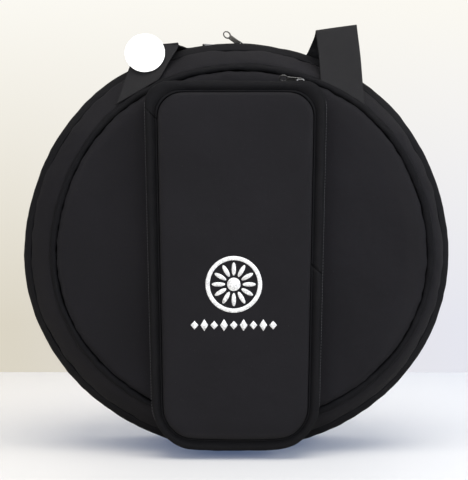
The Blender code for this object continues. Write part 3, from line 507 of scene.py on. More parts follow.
def placed(bm, name, surface):
    """Make the finished piece from its shape."""
    mesh = bpy.data.meshes.new(name)
    bm.to_mesh(mesh)
    bm.free()
    mesh.shade_smooth()
    if mesh.uv_layers:
        mesh.uv_layers[0].name = "cloth"
    mesh.materials.append(surface)
    made = bpy.data.objects.new(name, mesh)
    bpy.context.scene.collection.objects.link(made)
    return made


def joined_on(made, body, kind, *nodes):
    """Ride on a body, in place of CAD nodes if any are named. The kind is not used."""
    if nodes:
        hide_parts(*nodes)
    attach(made, body)
    return made


def round_piece(bm, name, surface, body, kind, nodes, wear_and_light, settle=stood):
    """Finish a piece that goes round the bag: settled on the floor, mapped and marked for wear and
    painted top light.
    """
    wear_and_light_marks(map_cloth(settle(bm)), wear_and_light)
    return joined_on(placed(bm, name, surface), body, kind, *nodes)


WALL_START = 0.0206
WALL_END = 0.1082
bm = cross_section(
    (
        (WALL_START, 0.0075), (WALL_START + 0.0012, 0.0048), (WALL_START + 0.005, 0.0012),
        (WALL_START + 0.012, -0.0004), (WALL_START + 0.028, -0.0016), (WALL_START + 0.044, -0.0019),
        (WALL_START + 0.060, -0.0016), (WALL_START + 0.074, -0.0006), (WALL_END - 0.004, 0.0004),
        (WALL_END, 0.0016), (WALL_END, 0.0058), (WALL_START + 0.060, 0.0064),
        (WALL_START + 0.030, 0.0064), (WALL_START + 0.010, 0.0068), (WALL_START + 0.002, 0.0088),
    )
)
smoothed(turn_round(bm))
sagged(bm, height=0.0022, length=0.075, seed=3.1)
puckered(bm, ((WALL_START, 0.004), (WALL_END, 0.002)), 0.011, 0.0015, 0.014, seed=5.0)
back_wall = round_piece(
    bm, "padded_back_gusset", fabric, "back_shell", "padded_fabric",
    ["back_gusset"],
    # The upper front of the wall goes paler: partly wear, partly painted top light
    lambda co: 0.35 if co.z > MIDDLE.z and co.y < CREST + 0.035 else 0.08,
)

# ---------------------------------------------------------------- Back half: panel, piping, linings
# A round padded panel closes the back. A piping of rolled cloth is caught in its seam, and the
# inside is lined with thin nylon stretched over the panel's foam and round the wall.
nylon = woven_cloth(
    "black_nylon_lining",
    colour=(0.0085, 0.0082, 0.0095),
    wear_and_light=(0.018, 0.018, 0.018),
    rough=0.55, threads=2200.0, depth=0.00005, swell=0.0004, gloss=0.20,
)
rolled = woven_cloth(
    "rolled_cloth",
    colour=(0.0032, 0.0032, 0.0042),
    # Paler colour for wear and for painted top light
    wear_and_light=(0.0080, 0.0078, 0.0082),
    rough=0.74, threads=1800.0, depth=0.00009, swell=0.0006, gloss=0.05,
)
# Round panels keep a small hole at the middle until they are smoothed
POLE = 0.2660
POLE_SIDES = 150


def filled(bm):
    """Close open rims, and give the one at the middle of a round panel a pole."""
    rims = [edge for edge in bm.edges if edge.is_boundary]
    caps = bmesh.ops.holes_fill(bm, edges=rims, sides=0)["faces"]
    bmesh.ops.poke(bm, faces=[cap for cap in caps if len(cap.verts) > POLE_SIDES])
    return faced_out(bm)


bm = cross_section(
    (
        (0.1155, POLE), (0.1152, 0.2000), (0.1150, 0.1200), (0.1146, 0.0600), (0.1135, 0.0300),
        (0.1118, 0.0170), (0.1095, 0.0095), (0.1075, 0.0075), (0.1045, 0.0090), (0.1022, 0.0120),
        (0.1018, 0.0600), (0.1018, POLE),
    ),
    closed=False,
)
filled(smoothed(turn_round(bm)))
sagged(bm, height=0.0016, length=0.09, seed=7.7)
puckered(bm, ((0.1085, 0.008),), 0.010, 0.0012, 0.013, seed=2.0)
back_panel = round_piece(
    bm, "padded_back_panel", fabric, "back_shell", "padded_fabric",
    ["back_panel_cover", "back_panel_foam"],
    lambda co: 0.30 if co.z < 0.09 else 0.05,
)


def round_of(depth, inset, radius, steps=10):
    """Corners of a round section."""
    turns = [math.tau * step / steps for step in range(steps)]
    return [(depth + radius * math.cos(turn), inset + radius * math.sin(turn)) for turn in turns]


BACK_SEAM = (0.1100, 0.0041)
bm = turn_round(cross_section(round_of(*BACK_SEAM, 0.0036)), 200)
puckered(bm, (BACK_SEAM,), 0.010, 0.0009, 0.009, seed=9.0)
round_piece(
    bm, "back_piping", rolled, "back_shell", "piping",
    ["back_seam_piping"],
    lambda co: 0.5 if co.z < 0.05 else 0.25,
)


def lining(name, node, body, points, area, settle=stood):
    """Thin nylon stretched round a wall, or over a board, where the area of its disc is given."""
    bm = filled(turn_round(cross_section(points, closed=area is None)))
    cloth = round_piece(bm, name, nylon, body, "lining", [node], 0.1, settle)


lining(
    "back_wall_lining", "back_gusset_lining", "back_shell",
    (
        (0.0312, 0.0080), (0.0680, 0.0078), (0.1000, 0.0080), (0.1000, 0.0086), (0.0680, 0.0085),
        (0.0312, 0.0087),
    ),
    None,
)
lining(
    "back_panel_cloth", "back_panel_lining", "back_shell",
    (
        (0.1010, POLE), (0.1008, 0.1500), (0.1010, 0.0092), (0.1004, 0.0092), (0.1002, 0.1500),
        (0.1004, POLE),
    ),
    0.2140,
)

# ---------------------------------------------------------------- Main zip and its cloth parts
# Two woven tapes with moulded teeth, sewn in the band and in the back wall's bound edge. The lid
# hinges on a cloth strip inside at the bottom, and a tab covers each end of the zip.
TOOTH_RUN = 27
TEETH = 34 * TOOTH_RUN
TOOTH_INSET = 0.0072
TOOTH_EDGE = 0.00018
TAB_TURN = 52.0
TAB_LENGTH = 0.026

tape_cloth = woven_cloth(
    "zip_tape_cloth",
    colour=(0.0068, 0.0066, 0.0076),
    wear_and_light=(0.015, 0.015, 0.015),
    rough=0.7, threads=1300.0, depth=0.0001, swell=0.0002, gloss=0.08,
)


def grained(name, rough, vary, *grain):
    """A material whose roughness varies by a fine grain, with its tree, shader and grain."""
    made, tree, shader = new_material(name)
    uneven = speckle(tree, object_place(tree), *grain)
    feed(tree, shader, {"Roughness": maths(tree, "MULTIPLY_ADD", uneven, vary, rough)})
    return made, tree, shader, uneven


def plain_stuff(name, colour, rough, vary, *grain):
    """A material of one colour whose roughness varies by a fine grain."""
    made, tree, shader, _ = grained(name, rough, vary, *grain)
    feed(tree, shader, {"Base Color": (*colour, 1.0)})
    return made


moulded = plain_stuff("moulded_teeth", (0.024, 0.024, 0.027), 0.3, 0.2, 900.0)


def softened(bm, rounding, segments=1, edges=None):
    """Bevel all edges of a small shape, or the edges given."""
    bmesh.ops.bevel(
        bm,
        geom=bm.edges[:] if edges is None else edges,
        offset=rounding, segments=segments, profile=0.5, affect="EDGES", material=-1,
    )
    return bm


def block(bm, size, matrix):
    """Add a block of a size at a place."""
    bmesh.ops.create_cube(bm, size=1.0, matrix=matrix @ Matrix.Diagonal((*size, 1.0)))
    return bm


for name, node, body, tape, (near, far), phase in (
    (
        "front", "main_zip_front", "lid",
        (
            (0.0034, 0.0068), (0.0050, 0.0066), (0.0066, 0.0067), (0.0066, 0.0077),
            (0.0050, 0.0076), (0.0034, 0.0078),
        ),
        (0.0062, 0.0104),
        0.0,
    ),
    (
        "back", "main_zip_back", "back_shell",
        (
            (0.0134, 0.0067), (0.0160, 0.0065), (0.0200, 0.0067), (0.0200, 0.0077),
            (0.0160, 0.0076), (0.0134, 0.0077),
        ),
        (0.0096, 0.0138),
        0.5,
    ),
):
    bm = turn_round(cross_section(tape))
    round_piece(bm, name + "_zip_tape", tape_cloth, body, "zip_tape", [node], 0.1)
    place = Vector((REACH - TOOTH_INSET, CREST + (near + far) / 2, MIDDLE.z))
    bm = block(bmesh.new(), (0.0022, far - near, 0.00075), Matrix.Translation(place))
    softened(bm, TOOTH_EDGE)
    turned = Matrix.Rotation(phase * math.tau / TEETH, 3, "Y")
    bmesh.ops.rotate(bm, verts=bm.verts[:], cent=MIDDLE, matrix=turned)
    for count, step in ((TOOTH_RUN, 1), (TEETH // TOOTH_RUN, TOOTH_RUN)):
        spun(bm, math.tau * (count - 1) * step / TEETH, count - 1, use_duplicate=True)
    joined_on(placed(stood(bm), name + "_zip_teeth", moulded), body, "zip_tape")


def soft_block(low, high, rounding, cuts):
    """A block between two corners with its edges softened and its long edges cut."""
    low, high = Vector(low), Vector(high)
    bm = block(bmesh.new(), high - low, Matrix.Translation((low + high) / 2))
    softened(bm, rounding, 2)
    long_edges = [edge for edge in bm.edges if edge.calc_length() > max(high - low) * 0.3]
    bmesh.ops.subdivide_edges(bm, edges=long_edges, cuts=cuts, use_grid_fill=True)
    return bm


def map_box(bm):
    """Map small cloth parts in metres, by the way each face looks."""
    bm.normal_update()
    layer = bm.loops.layers.uv.verify()
    for face in bm.faces:
        look = [abs(part) for part in face.normal]
        first, second = ((1, 2), (0, 2), (0, 1))[look.index(max(look))]
        for loop in face.loops:
            loop[layer].uv = (loop.vert.co[first], loop.vert.co[second])
    return bm


def flat_piece(bm, name, surface, body, kind, nodes, wear_and_light):
    """Finish a piece with a box map."""
    wear_and_light_marks(map_box(bm), wear_and_light)
    return joined_on(placed(bm, name, surface), body, kind, *nodes)


bm = soft_block((-0.0120, CREST + 0.0077, 0.0088), (0.0120, CREST + 0.0192, 0.0104), 0.0006, 6)
flat_piece(bm, "hinge_cloth", tape_cloth, "back_shell", "zip_tape", ["hinge_strip"], 0.15)

for side in ("right", "left"):
    bm = cross_section(
        ((0.0117, 0.0044), (0.0156, 0.0042), (0.0195, 0.0044), (0.0195, 0.0054), (0.0117, 0.0054))
    )
    turned = Matrix.Rotation(math.radians(TAB_TURN), 3, "Y")
    bmesh.ops.rotate(bm, verts=bm.verts[:], cent=MIDDLE, matrix=turned)
    bmesh.ops.contextual_create(bm, geom=bm.edges[:])
    spun(bm, -TAB_LENGTH / REACH, 10)
    if side == "left":
        bmesh.ops.scale(bm, vec=(-1.0, 1.0, 1.0), verts=bm.verts[:])
    stood(faced_out(bm))
    node = "zip_end_tab_" + side
    flat_piece(bm, side + "_zip_end_tab", tape_cloth, "back_shell", "zip_tape", [node], 0.4)

# ---------------------------------------------------------------- Padded divider
# A round foam pad in black cloth that keeps the cymbals off the drum. Its edge is bound with
# tape on both sides, and a short hem at the bottom sews it to the bag's lining.
bm = cross_section(
    (
        (0.0492, POLE), (0.0493, 0.1500), (0.0494, 0.0500), (0.0498, 0.0250), (0.0510, 0.0150),
        (0.0530, 0.0134), (0.0550, 0.0150), (0.0562, 0.0250), (0.0566, 0.0500), (0.0567, 0.1500),
        (0.0568, POLE),
    ),
    closed=False,
)
filled(smoothed(turn_round(bm)))
sagged(bm, height=0.0007, length=0.07, seed=4.4)
pad = round_piece(
    bm, "divider_cushion", fabric, "divider", "padded_fabric", ["divider_pad"], 0.1
)
bm = cross_section(
    (
        (0.0488, 0.0212), (0.0484, 0.0160), (0.0494, 0.0128), (0.0530, 0.0118), (0.0566, 0.0128),
        (0.0576, 0.0160), (0.0572, 0.0212), (0.0566, 0.0206), (0.0562, 0.0160), (0.0530, 0.0129),
        (0.0498, 0.0160), (0.0494, 0.0206),
    )
)
nodes = ["divider_binding_front", "divider_binding_back"]
round_piece(turn_round(bm), "divider_binding", tape_cloth, "divider", "zip_tape", nodes, 0.2)
bm = soft_block((-0.0250, CREST + 0.0521, 0.0091), (0.0250, CREST + 0.0539, 0.0122), 0.0006, 8)
flat_piece(bm, "divider_hem", tape_cloth, "divider", "zip_tape", ["divider_hinge_tape"], 0.1)

# ---------------------------------------------------------------- Front half: band, gusset, roll
# A stiff band of close-woven cloth folds over the crest of the rim. From it a padded gusset
# slopes in to the face, where a roll of padded cloth covers the seam. The seams draw the cloth
# into small puckers.
FRONT_STEPS = 220
UPPER_ZONE = 0.40
FACE_SLIDE = 0.0068
SLIDE_DEPTH = 0.0123
SLIDE_LENGTH = 0.0237

band_cloth = woven_cloth(
    "close_woven_band",
    colour=(0.0030, 0.0030, 0.0042),
    # Paler colour for wear and for painted top light
    wear_and_light=(0.0085, 0.0083, 0.0085),
    rough=0.80, threads=760.0, depth=0.0003, swell=0.0005, gloss=0.075,
)


def wear_and_top_light(high, low):
    """Paling that is high on the upper part of the bag and low elsewhere: partly wear, partly
    painted top light.
    """
    return lambda co: high if co.z > UPPER_ZONE else low


bm = cross_section(
    (
        (-0.0120, 0.0112), (-0.0122, 0.0100), (-0.0105, 0.0080), (-0.0075, 0.0048),
        (-0.0045, 0.0020), (-0.0015, 0.0004), (0.0010, 0.0002), (0.0028, 0.0010), (0.0031, 0.0030),
        (0.0030, 0.0076), (-0.0010, 0.0084), (-0.0070, 0.0145),
    )
)
smoothed(turn_round(bm, FRONT_STEPS))
sagged(bm, height=0.0007, length=0.05, seed=1.3)
puckered(bm, ((-0.0118, 0.0100), (0.0028, 0.0010)), 0.006, 0.0008, 0.012, seed=3.0)
# The upper band goes paler: partly wear, partly painted top light
band = round_piece(
    bm, "rim_binding", band_cloth, "lid", "edge_band", ["rim_band"], wear_and_top_light(0.45, 0.2)
)


def slid(bm):
    """Settle the soft front like the rest, then slide it to the right with its padding."""
    for vert in stood(bm).verts:
        share = (CREST - SLIDE_DEPTH - vert.co.y) / SLIDE_LENGTH
        vert.co.x += FACE_SLIDE * min(max(share, 0.0), 1.0)
    return bm


SLOPE_START = Vector((-0.0123, 0.0103))
SLOPE_END = Vector((-0.0360, 0.0320))
SLOPE_IN = Vector((0.6757, 0.7371))


def on_slope(share, inward):
    """A point of the sloping gusset: a share of the way from band to face, so far inward."""
    return tuple(SLOPE_START.lerp(SLOPE_END, share) + SLOPE_IN * inward)


outer = ((0.0, 0.0008), (0.04, -0.0006), (0.14, -0.0019), (0.30, -0.0027), (0.50, -0.0030))
outer += ((0.70, -0.0026), (0.86, -0.0017), (0.96, -0.0004), (1.0, 0.0012))
inner = ((1.0, 0.0064), (0.75, 0.0068), (0.50, 0.0069), (0.25, 0.0068), (0.02, 0.0064))
bm = cross_section([on_slope(*corner) for corner in outer + inner])
smoothed(turn_round(bm, FRONT_STEPS))
sagged(bm, height=0.0018, length=0.055, seed=2.2)
puckered(bm, (on_slope(0.0, 0.0), on_slope(1.0, 0.0)), 0.010, 0.0016, 0.014, seed=6.0)
front_wall = round_piece(
    bm, "padded_front_gusset", fabric, "lid", "padded_fabric",
    ["front_gusset"],
    # The upper gusset goes paler: partly wear, partly painted top light
    wear_and_top_light(0.30, 0.1),
    settle=slid,
)

FRONT_SEAM = (-0.0380, 0.0364)
bm = turn_round(cross_section(round_of(*FRONT_SEAM, 0.0044, 12)), 240)
sagged(bm, height=0.0009, length=0.04, seed=8.8)
puckered(bm, (FRONT_SEAM,), 0.012, 0.0018, 0.0075, seed=4.0)
# The upper roll goes paler: partly wear, partly painted top light
wear_and_light = wear_and_top_light(0.5, 0.25)
round_piece(bm, "padded_roll", rolled, "lid", "piping", ["front_seam_roll"], wear_and_light, settle=slid)

# ---------------------------------------------------------------- Front half: face and linings
# The round face is cloth drawn over a foam board, and carries the pocket. Inside, nylon lines
# the board and the sloping gusset.
FACE_FRONT = 0.0471
bm = cross_section(
    (
        (-0.0470, POLE), (-0.0470, 0.2000), (-0.0470, 0.1300), (-0.0470, 0.0600), (-0.0467, 0.0510),
        (-0.0457, 0.0455), (-0.0434, 0.0424), (-0.0402, 0.0411), (-0.0372, 0.0412),
        (-0.0374, 0.0440), (-0.0388, 0.0480), (-0.0388, 0.1300), (-0.0388, POLE),
    ),
    closed=False,
)
filled(smoothed(turn_round(bm, FRONT_STEPS)))
puckered(bm, ((-0.0400, 0.0425),), 0.008, 0.0014, 0.011, seed=7.0)
for vert in bm.verts:
    if vert.co.y < CREST - 0.0425:
        vert.co.y += 0.0012 * (1.0 + noise.noise(vert.co / 0.06))
        vert.co.y = max(vert.co.y, CREST - FACE_FRONT)
face = round_piece(
    bm, "padded_face", fabric, "lid", "padded_fabric",
    ["front_panel_cover", "front_panel_foam"],
    lambda co: 0.18 if polar(co)[1] > 0.215 else 0.05,
    settle=slid,
)

slope_points = (
    (0.05, 0.0074), (0.5, 0.0076), (0.97, 0.0074), (0.97, 0.0081), (0.5, 0.0083), (0.05, 0.0081),
)
lining(
    "front_wall_lining", "front_gusset_lining", "lid",
    [on_slope(*corner) for corner in slope_points],
    None, settle=slid,
)
lining(
    "front_panel_cloth", "front_panel_lining", "lid",
    (
        (-0.0383, POLE), (-0.0382, 0.1500), (-0.0384, 0.0455), (-0.0377, 0.0455), (-0.0375, 0.1500),
        (-0.0376, POLE),
    ),
    0.1583, settle=slid,
)

# ---------------------------------------------------------------- Stick pocket: back and rear wall
# A long flat pocket sewn on the face by a row of grey stitches. Its back panel hangs a little
# below the round face, and a narrow wall of laminated cloth rises from it to the zip.
POCKET_TOP = 0.460
POCKET_LOW = 0.008
POCKET_SIDE = 0.107
POCKET_TAPER = 0.050
POCKET_BOTTOM_ROUND = 0.052
POCKET_BOW = 0.6
BOW_HEIGHT = 0.12
CORNER_STEPS = 8
EDGE_RUNS = (10, 26, 10, 26)
CORNERS = (
    (-0.0473, 0.036), (-0.0578, 0.028), (-0.0688, 0.026), (-0.0808, 0.030), (-0.0900, 0.033),
)
FOLD_LEFT = Vector((-0.096, 0.0, 0.412))
FOLD_UP = Vector((0.6848, 0.0, 0.7288))
FOLD_GAP = 0.0003
STITCH = (0.0024, 0.0005, 0.0006)
STITCH_PITCH = 0.0036


def corner_round(depth):
    """Radius of the pocket's upper corners at a depth."""
    for (near, first), (far, last) in zip(CORNERS, CORNERS[1:]):
        if depth >= far:
            break
    share = min(max((depth - near) / (far - near), 0.0), 1.0)
    return first + (last - first) * share


def pocket_row(depth, inset):
    """Outline of the pocket at a depth: tapered, with round corners and a bowed bottom."""
    side = POCKET_SIDE - inset
    corners = []
    for across, up, first in ((1, 1, 0.0), (-1, 1, 90.0), (-1, -1, 180.0), (1, -1, 270.0)):
        radius = corner_round(depth) if up > 0 else POCKET_BOTTOM_ROUND - inset
        edge = POCKET_TOP - inset if up > 0 else POCKET_LOW + inset
        centre = Vector((across * (side - radius), 0.0, edge - up * radius))
        arc = []
        for step in range(CORNER_STEPS + 1):
            angle = math.radians(first + 90.0 * step / CORNER_STEPS)
            arc.append(centre + radius * Vector((math.cos(angle), 0.0, math.sin(angle))))
        corners.append(arc)
    row = []
    for arc, following, runs in zip(corners, corners[1:] + corners[:1], EDGE_RUNS):
        row += arc
        row += [arc[-1].lerp(following[0], step / runs) for step in range(1, runs)]
    placed_row = []
    for point in row:
        share = (point.z - POCKET_LOW) / (POCKET_TOP - POCKET_LOW) - 0.5
        x = point.x * (1.0 + POCKET_TAPER * 2.0 * share)
        bow = POCKET_BOW * x * x * max(0.0, 1.0 - point.z / BOW_HEIGHT)
        placed_row.append(Vector((x, depth + CREST, point.z + bow)))
    return placed_row


def pocket_rows(*rows):
    return [pocket_row(*row) for row in rows]


def loft(rows, closed):
    """Join rows of points into a skin that comes back to its first row, or has capped ends."""
    bm = bmesh.new()
    slot = bm.verts.layers.int.new("slot")
    ring = [bm.verts.new(point) for point in rows[0]]
    for index, vert in enumerate(ring):
        vert[slot] = index
    edges = [bm.edges.new(pair) for pair in zip(ring, ring[1:] + ring[:1])]
    for row in rows[1:] + (rows[:1] if closed else []):
        grown = bmesh.ops.extrude_edge_only(bm, edges=edges)["geom"]
        edges = []
        for item in grown:
            if isinstance(item, bmesh.types.BMVert):
                item.co = row[item[slot]]
            elif isinstance(item, bmesh.types.BMEdge) and item.is_boundary:
                edges.append(item)
    bmesh.ops.remove_doubles(bm, verts=bm.verts[:], dist=SAME_POINT)
    return filled(bm)


def cut_on_fold(bm, above):
    """Keep the part above or below the line the flap folds on."""
    away = FOLD_UP if above else -FOLD_UP
    bmesh.ops.bisect_plane(
        bm,
        geom=bm.verts[:] + bm.edges[:] + bm.faces[:],
        plane_co=FOLD_LEFT + away * FOLD_GAP, plane_no=-away, clear_outer=True,
    )
    return filled(bm)


def crinkled(bm, height, length, seed):
    """Small creases over sewn cloth."""
    return sagged(sagged(bm, height, length, seed), height * 0.5, length * 0.4, seed + 3.0)


rows = pocket_rows((-0.0474, 0.0010), (-0.0477, 0.0), (-0.0483, 0.0), (-0.0486, 0.0010))
pocket_ground = flat_piece(
    loft(rows, False), "pocket_back_cloth", fabric, "lid", "padded_fabric", ["pocket_back"], 0.4
)

rows = pocket_rows(
    (-0.0489, 0.0006), (-0.0520, -0.0006), (-0.0555, 0.0006), (-0.0568, 0.0026), (-0.0568, 0.0068),
    (-0.0545, 0.0060), (-0.0489, 0.0044),
)
bm = crinkled(smoothed(loft(rows, True)), height=0.0007, length=0.022, seed=1.9)
nodes = ["pocket_rear_wall"]
flat_piece(bm, "pocket_rear_roll", rolled, "lid", "padded_fabric", nodes, 0.45)

stitch_thread = plain_stuff("grey_thread", (0.05, 0.05, 0.055), 0.55, 0.2, 1200.0, 1.0)


def along_outline(row, pitch, size, keep=None, shift=0.0):
    """Set small softened blocks along an outline, turned with it, where keep allows them."""
    spans = list(zip(row, row[1:] + row[:1]))
    lengths = [(b - a).length for a, b in spans]
    count = int(sum(lengths) / pitch)
    step = sum(lengths) / count
    bm = bmesh.new()
    travelled = 0.0
    number = 0
    for (a, b), length in zip(spans, lengths):
        while number < count and (number + shift) * step <= travelled + length:
            share = ((number + shift) * step - travelled) / max(length, 1e-9)
            place = a.lerp(b, share)
            number += 1
            if keep is None or keep(place):
                turn = math.atan2(b.z - a.z, b.x - a.x)
                block(bm, size, Matrix.Translation(place) @ Matrix.Rotation(-turn, 4, "Y"))
        travelled += length
    return softened(bm, TOOTH_EDGE)


bm = along_outline(pocket_row(-0.0519, -0.00075), STITCH_PITCH, STITCH)
joined_on(placed(bm, "pocket_stitches", stitch_thread), "lid", "zip_tape")

# ---------------------------------------------------------------- Stick pocket: zip
# The zip runs from the fold line on the left, over the top, to the stitched patch at the right.
# Its rear half stays with the bag, and its front half opens with the flap.
COIL = (0.0007, 0.0042, 0.0022)
COIL_PITCH = 0.0016
COIL_INSET = 0.0048
COIL_END_GAP = 0.0012


def on_flap(place):
    """Whether a tooth stands above the fold line."""
    return (place - FOLD_LEFT).dot(FOLD_UP) > COIL_END_GAP


for name, node, body, tape, teeth, shift in (
    (
        "rear", "pocket_zip_rear", "lid",
        (
            (-0.0570, 0.0044), (-0.0585, 0.0041), (-0.0600, 0.0043), (-0.0600, 0.0053),
            (-0.0585, 0.0051), (-0.0570, 0.0054),
        ),
        -0.0619,
        0.0,
    ),
    (
        "flap", "pocket_zip_flap", "pocket_flap",
        (
            (-0.0666, 0.0043), (-0.0678, 0.0041), (-0.0692, 0.0044), (-0.0692, 0.0054),
            (-0.0678, 0.0051), (-0.0666, 0.0053),
        ),
        -0.0647,
        0.5,
    ),
):
    bm = cut_on_fold(loft(pocket_rows(*tape), True), True)
    name = "pocket_" + name + "_zip_"
    flat_piece(bm, name + "tape", tape_cloth, body, "zip_tape", [node], 0.1)
    bm = along_outline(pocket_row(teeth, COIL_INSET), COIL_PITCH, COIL, on_flap, shift)
    joined_on(placed(bm, name + "teeth", moulded), body, "zip_tape")

# The patch over the lower end of the zip, on the right wall
bm = soft_block((0.1010, CREST - 0.0688, 0.2058), (0.1022, CREST - 0.0578, 0.2178), 0.0005, 3)
flat_piece(bm, "pocket_zip_patch", tape_cloth, "lid", "zip_tape", ["pocket_zip_end_patch"], 0.5)

# ---------------------------------------------------------------- Stick pocket: wall and face
# The pocket's front wall is rolled over towards the face, and the face panel is let into it with
# a thin piping. The face is one cloth: above the slanted line it folds back as the flap.
lower_rows = ((-0.0572, 0.0040), (-0.0640, 0.0030))
roll_rows = (
    (-0.0694, 0.0032), (-0.0725, 0.0016), (-0.0765, 0.0013), (-0.0798, 0.0035), (-0.0809, 0.0070),
    (-0.0797, 0.0105), (-0.0770, 0.0134), (-0.0755, 0.0160), (-0.0738, 0.0164), (-0.0742, 0.0125),
    (-0.0748, 0.0085), (-0.0725, 0.0072), (-0.0694, 0.0068),
)
lower_back = ((-0.0640, 0.0066), (-0.0572, 0.0072))
for name, node, body, rows, above in (
    ("pocket_lower_roll", "pocket_lower_wall", "lid", lower_rows + roll_rows + lower_back, False),
    ("pocket_flap_roll", "pocket_flap_wall", "pocket_flap", roll_rows, True),
):
    bm = smoothed(loft(pocket_rows(*rows), True))
    crinkled(bm, height=0.0008, length=0.026, seed=5.2)
    cut_on_fold(bm, above)
    wall = flat_piece(
        bm, name, rolled, body, "padded_fabric",
        [node],
        lambda co: 0.45 if co.y < CREST - 0.076 else 0.2,
    )
for name, node, body, above in (
    ("pocket_lower_cord", "pocket_lower_piping", "lid", False),
    ("pocket_flap_cord", "pocket_flap_piping", "pocket_flap", True),
):
    bm = cut_on_fold(loft(pocket_rows(*round_of(-0.0790, 0.0147, 0.0012, 8)), True), above)
    flat_piece(bm, name, rolled, body, "piping", [node], 0.3)


PANEL_INSET = 0.030
SPINE = (0.085, 0.385)
EDGE_WEAR = 0.004


def drawn_in(depth, share):
    """Outline of the pocket's face, drawn in by a share towards a line up its middle."""
    row = []
    for point in pocket_row(depth, PANEL_INSET):
        spine = Vector((0.0, point.y, min(max(point.z, SPINE[0]), SPINE[1])))
        row.append(point.lerp(spine, share))
    return row


front_rows = [drawn_in(-0.0890, share) for share in (1.0, 0.85, 0.7, 0.55, 0.4, 0.25, 0.12)]
edge_rows = pocket_rows(
    (-0.0886, 0.0300), (-0.0880, 0.0225), (-0.0868, 0.0185), (-0.0840, 0.0166), (-0.0800, 0.0160),
    (-0.0768, 0.0170), (-0.0768, 0.0195), (-0.0800, 0.0200), (-0.0834, 0.0230), (-0.0845, 0.0300),
)
back_rows = [drawn_in(-0.0847, share) for share in (0.2, 0.6, 1.0)]
bm = smoothed(loft(front_rows + edge_rows + back_rows, False))
for vert in bm.verts:
    broad = noise.noise(vert.co / 0.060 + Vector((6.6, 0.0, 1.2)))
    small = noise.noise(vert.co / 0.018)
    vert.co.y += 0.0011 * broad + 0.00025 * small


def near_edge(co):
    """Wear of the face: more within a few millimetres of its edge."""
    return 0.32 if min(0.093 - abs(co.x), 0.444 - co.z, co.z - 0.030) < EDGE_WEAR else 0.10


map_box(bm)
wear_and_light_marks(bm, near_edge)
panel_shape = BVHTree.FromBMesh(bm)
pocket_panel = placed(bm, "pocket_face_panel", fabric)
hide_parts("pocket_lower_face", "pocket_flap_face")
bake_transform(pocket_panel)

# ---------------------------------------------------------------- Stick pocket: printed motif
# White ink printed on the face: a ring of petals round a disc, over a row of diamonds. The ink
# lies on the cloth and follows it.
MOTIF_X = -0.002
MOTIF_Z = 0.212
PETALS = 12
PETAL_REACH = 0.0185
DIAMONDS = 9
DIAMOND_PITCH = 0.0118
DIAMOND_Z = 0.163
INK_LIFT = 0.00028
INK_THICKNESS = 0.0001

ink, tree, shader, cracks = grained("white_ink", 0.5, 0.2, 420.0, 4.0, 0.7)
share = between(tree, cracks, 0.35, 0.62)
tone = mixed(tree, share, (0.30, 0.30, 0.31, 1.0), (0.70, 0.70, 0.71, 1.0))
feed(tree, shader, {"Base Color": tone})


def ring_of(bm, x, z, steps, wide, tall, turn=0.0, full=True):
    """A round, oval or pointed patch of ink in the plane of the face, full or only its line."""
    matrix = (
        Matrix.Translation((x, 0.0, z))
        @ Matrix.Rotation(turn, 4, "Y")
        @ Matrix.Diagonal((wide, 1.0, tall, 1.0))
        @ Matrix.Rotation(math.radians(90.0), 4, "X")
    )
    return bmesh.ops.create_circle(bm, cap_ends=full, segments=steps, radius=1.0, matrix=matrix)


bm = bmesh.new()
lines = []
for radius in (0.034, 0.029):
    verts = ring_of(bm, MOTIF_X, MOTIF_Z, 72, radius, radius, full=False)["verts"]
    lines += list({edge for vert in verts for edge in vert.link_edges})
bmesh.ops.bridge_loops(bm, edges=lines)
ring_of(bm, MOTIF_X, MOTIF_Z, 36, 0.008, 0.008)
for petal in range(PETALS):
    turn = math.tau * petal / PETALS
    x = MOTIF_X + PETAL_REACH * math.sin(turn)
    z = MOTIF_Z + PETAL_REACH * math.cos(turn)
    ring_of(bm, x, z, 16, 0.0026, 0.0080, turn)
for step in range(DIAMONDS):
    x = MOTIF_X + (step - DIAMONDS // 2) * DIAMOND_PITCH
    ring_of(bm, x, DIAMOND_Z, 4, 0.0046, 0.0072 if step % 2 else 0.0052)
for vert in bm.verts:
    start = Vector((vert.co.x, -0.3, vert.co.z))
    vert.co.y = panel_shape.ray_cast(start, Vector((0.0, 1.0, 0.0)))[0].y - INK_LIFT
bmesh.ops.solidify(faced_out(bm), geom=bm.faces[:], thickness=INK_THICKNESS)
joined_on(placed(faced_out(bm), "printed_motif", ink), "lid", "card")

# ---------------------------------------------------------------- Carrying handle
# One strap of nylon webbing. Each leg comes out of the seam over the face, stands up and folds
# over the rim, and the long middle lies thrown back along the top of the bag.
webbing = woven_cloth(
    "nylon_webbing",
    colour=(0.0070, 0.0069, 0.0080),
    wear_and_light=(0.0160, 0.0156, 0.0160),
    rough=0.66, threads=800.0, depth=0.00012, swell=0.0003, gloss=0.10,
)
HALF_WIDTH = 0.02625
HALF_THICKNESS = 0.00095
STRAP_STEPS = 5
# The legs, by the places of their two edges
right_leg = (
    ((0.1060, -0.0512, 0.4630), (0.1625, -0.0512, 0.4262)),
    ((0.1055, -0.0500, 0.4690), (0.1608, -0.0500, 0.4335)),
    ((0.1040, -0.0428, 0.4975), (0.1572, -0.0428, 0.4845)),
    ((0.1013, -0.0362, 0.5252), (0.1532, -0.0362, 0.5328)),
)
left_leg = (
    ((-0.0723, -0.0358, 0.5070), (-0.1239, -0.0358, 0.5110)),
    ((-0.0821, -0.0408, 0.4904), (-0.1344, -0.0408, 0.4774)),
    ((-0.0918, -0.0494, 0.4712), (-0.1455, -0.0494, 0.4418)),
    ((-0.0952, -0.0508, 0.4650), (-0.1500, -0.0508, 0.4335)),
)
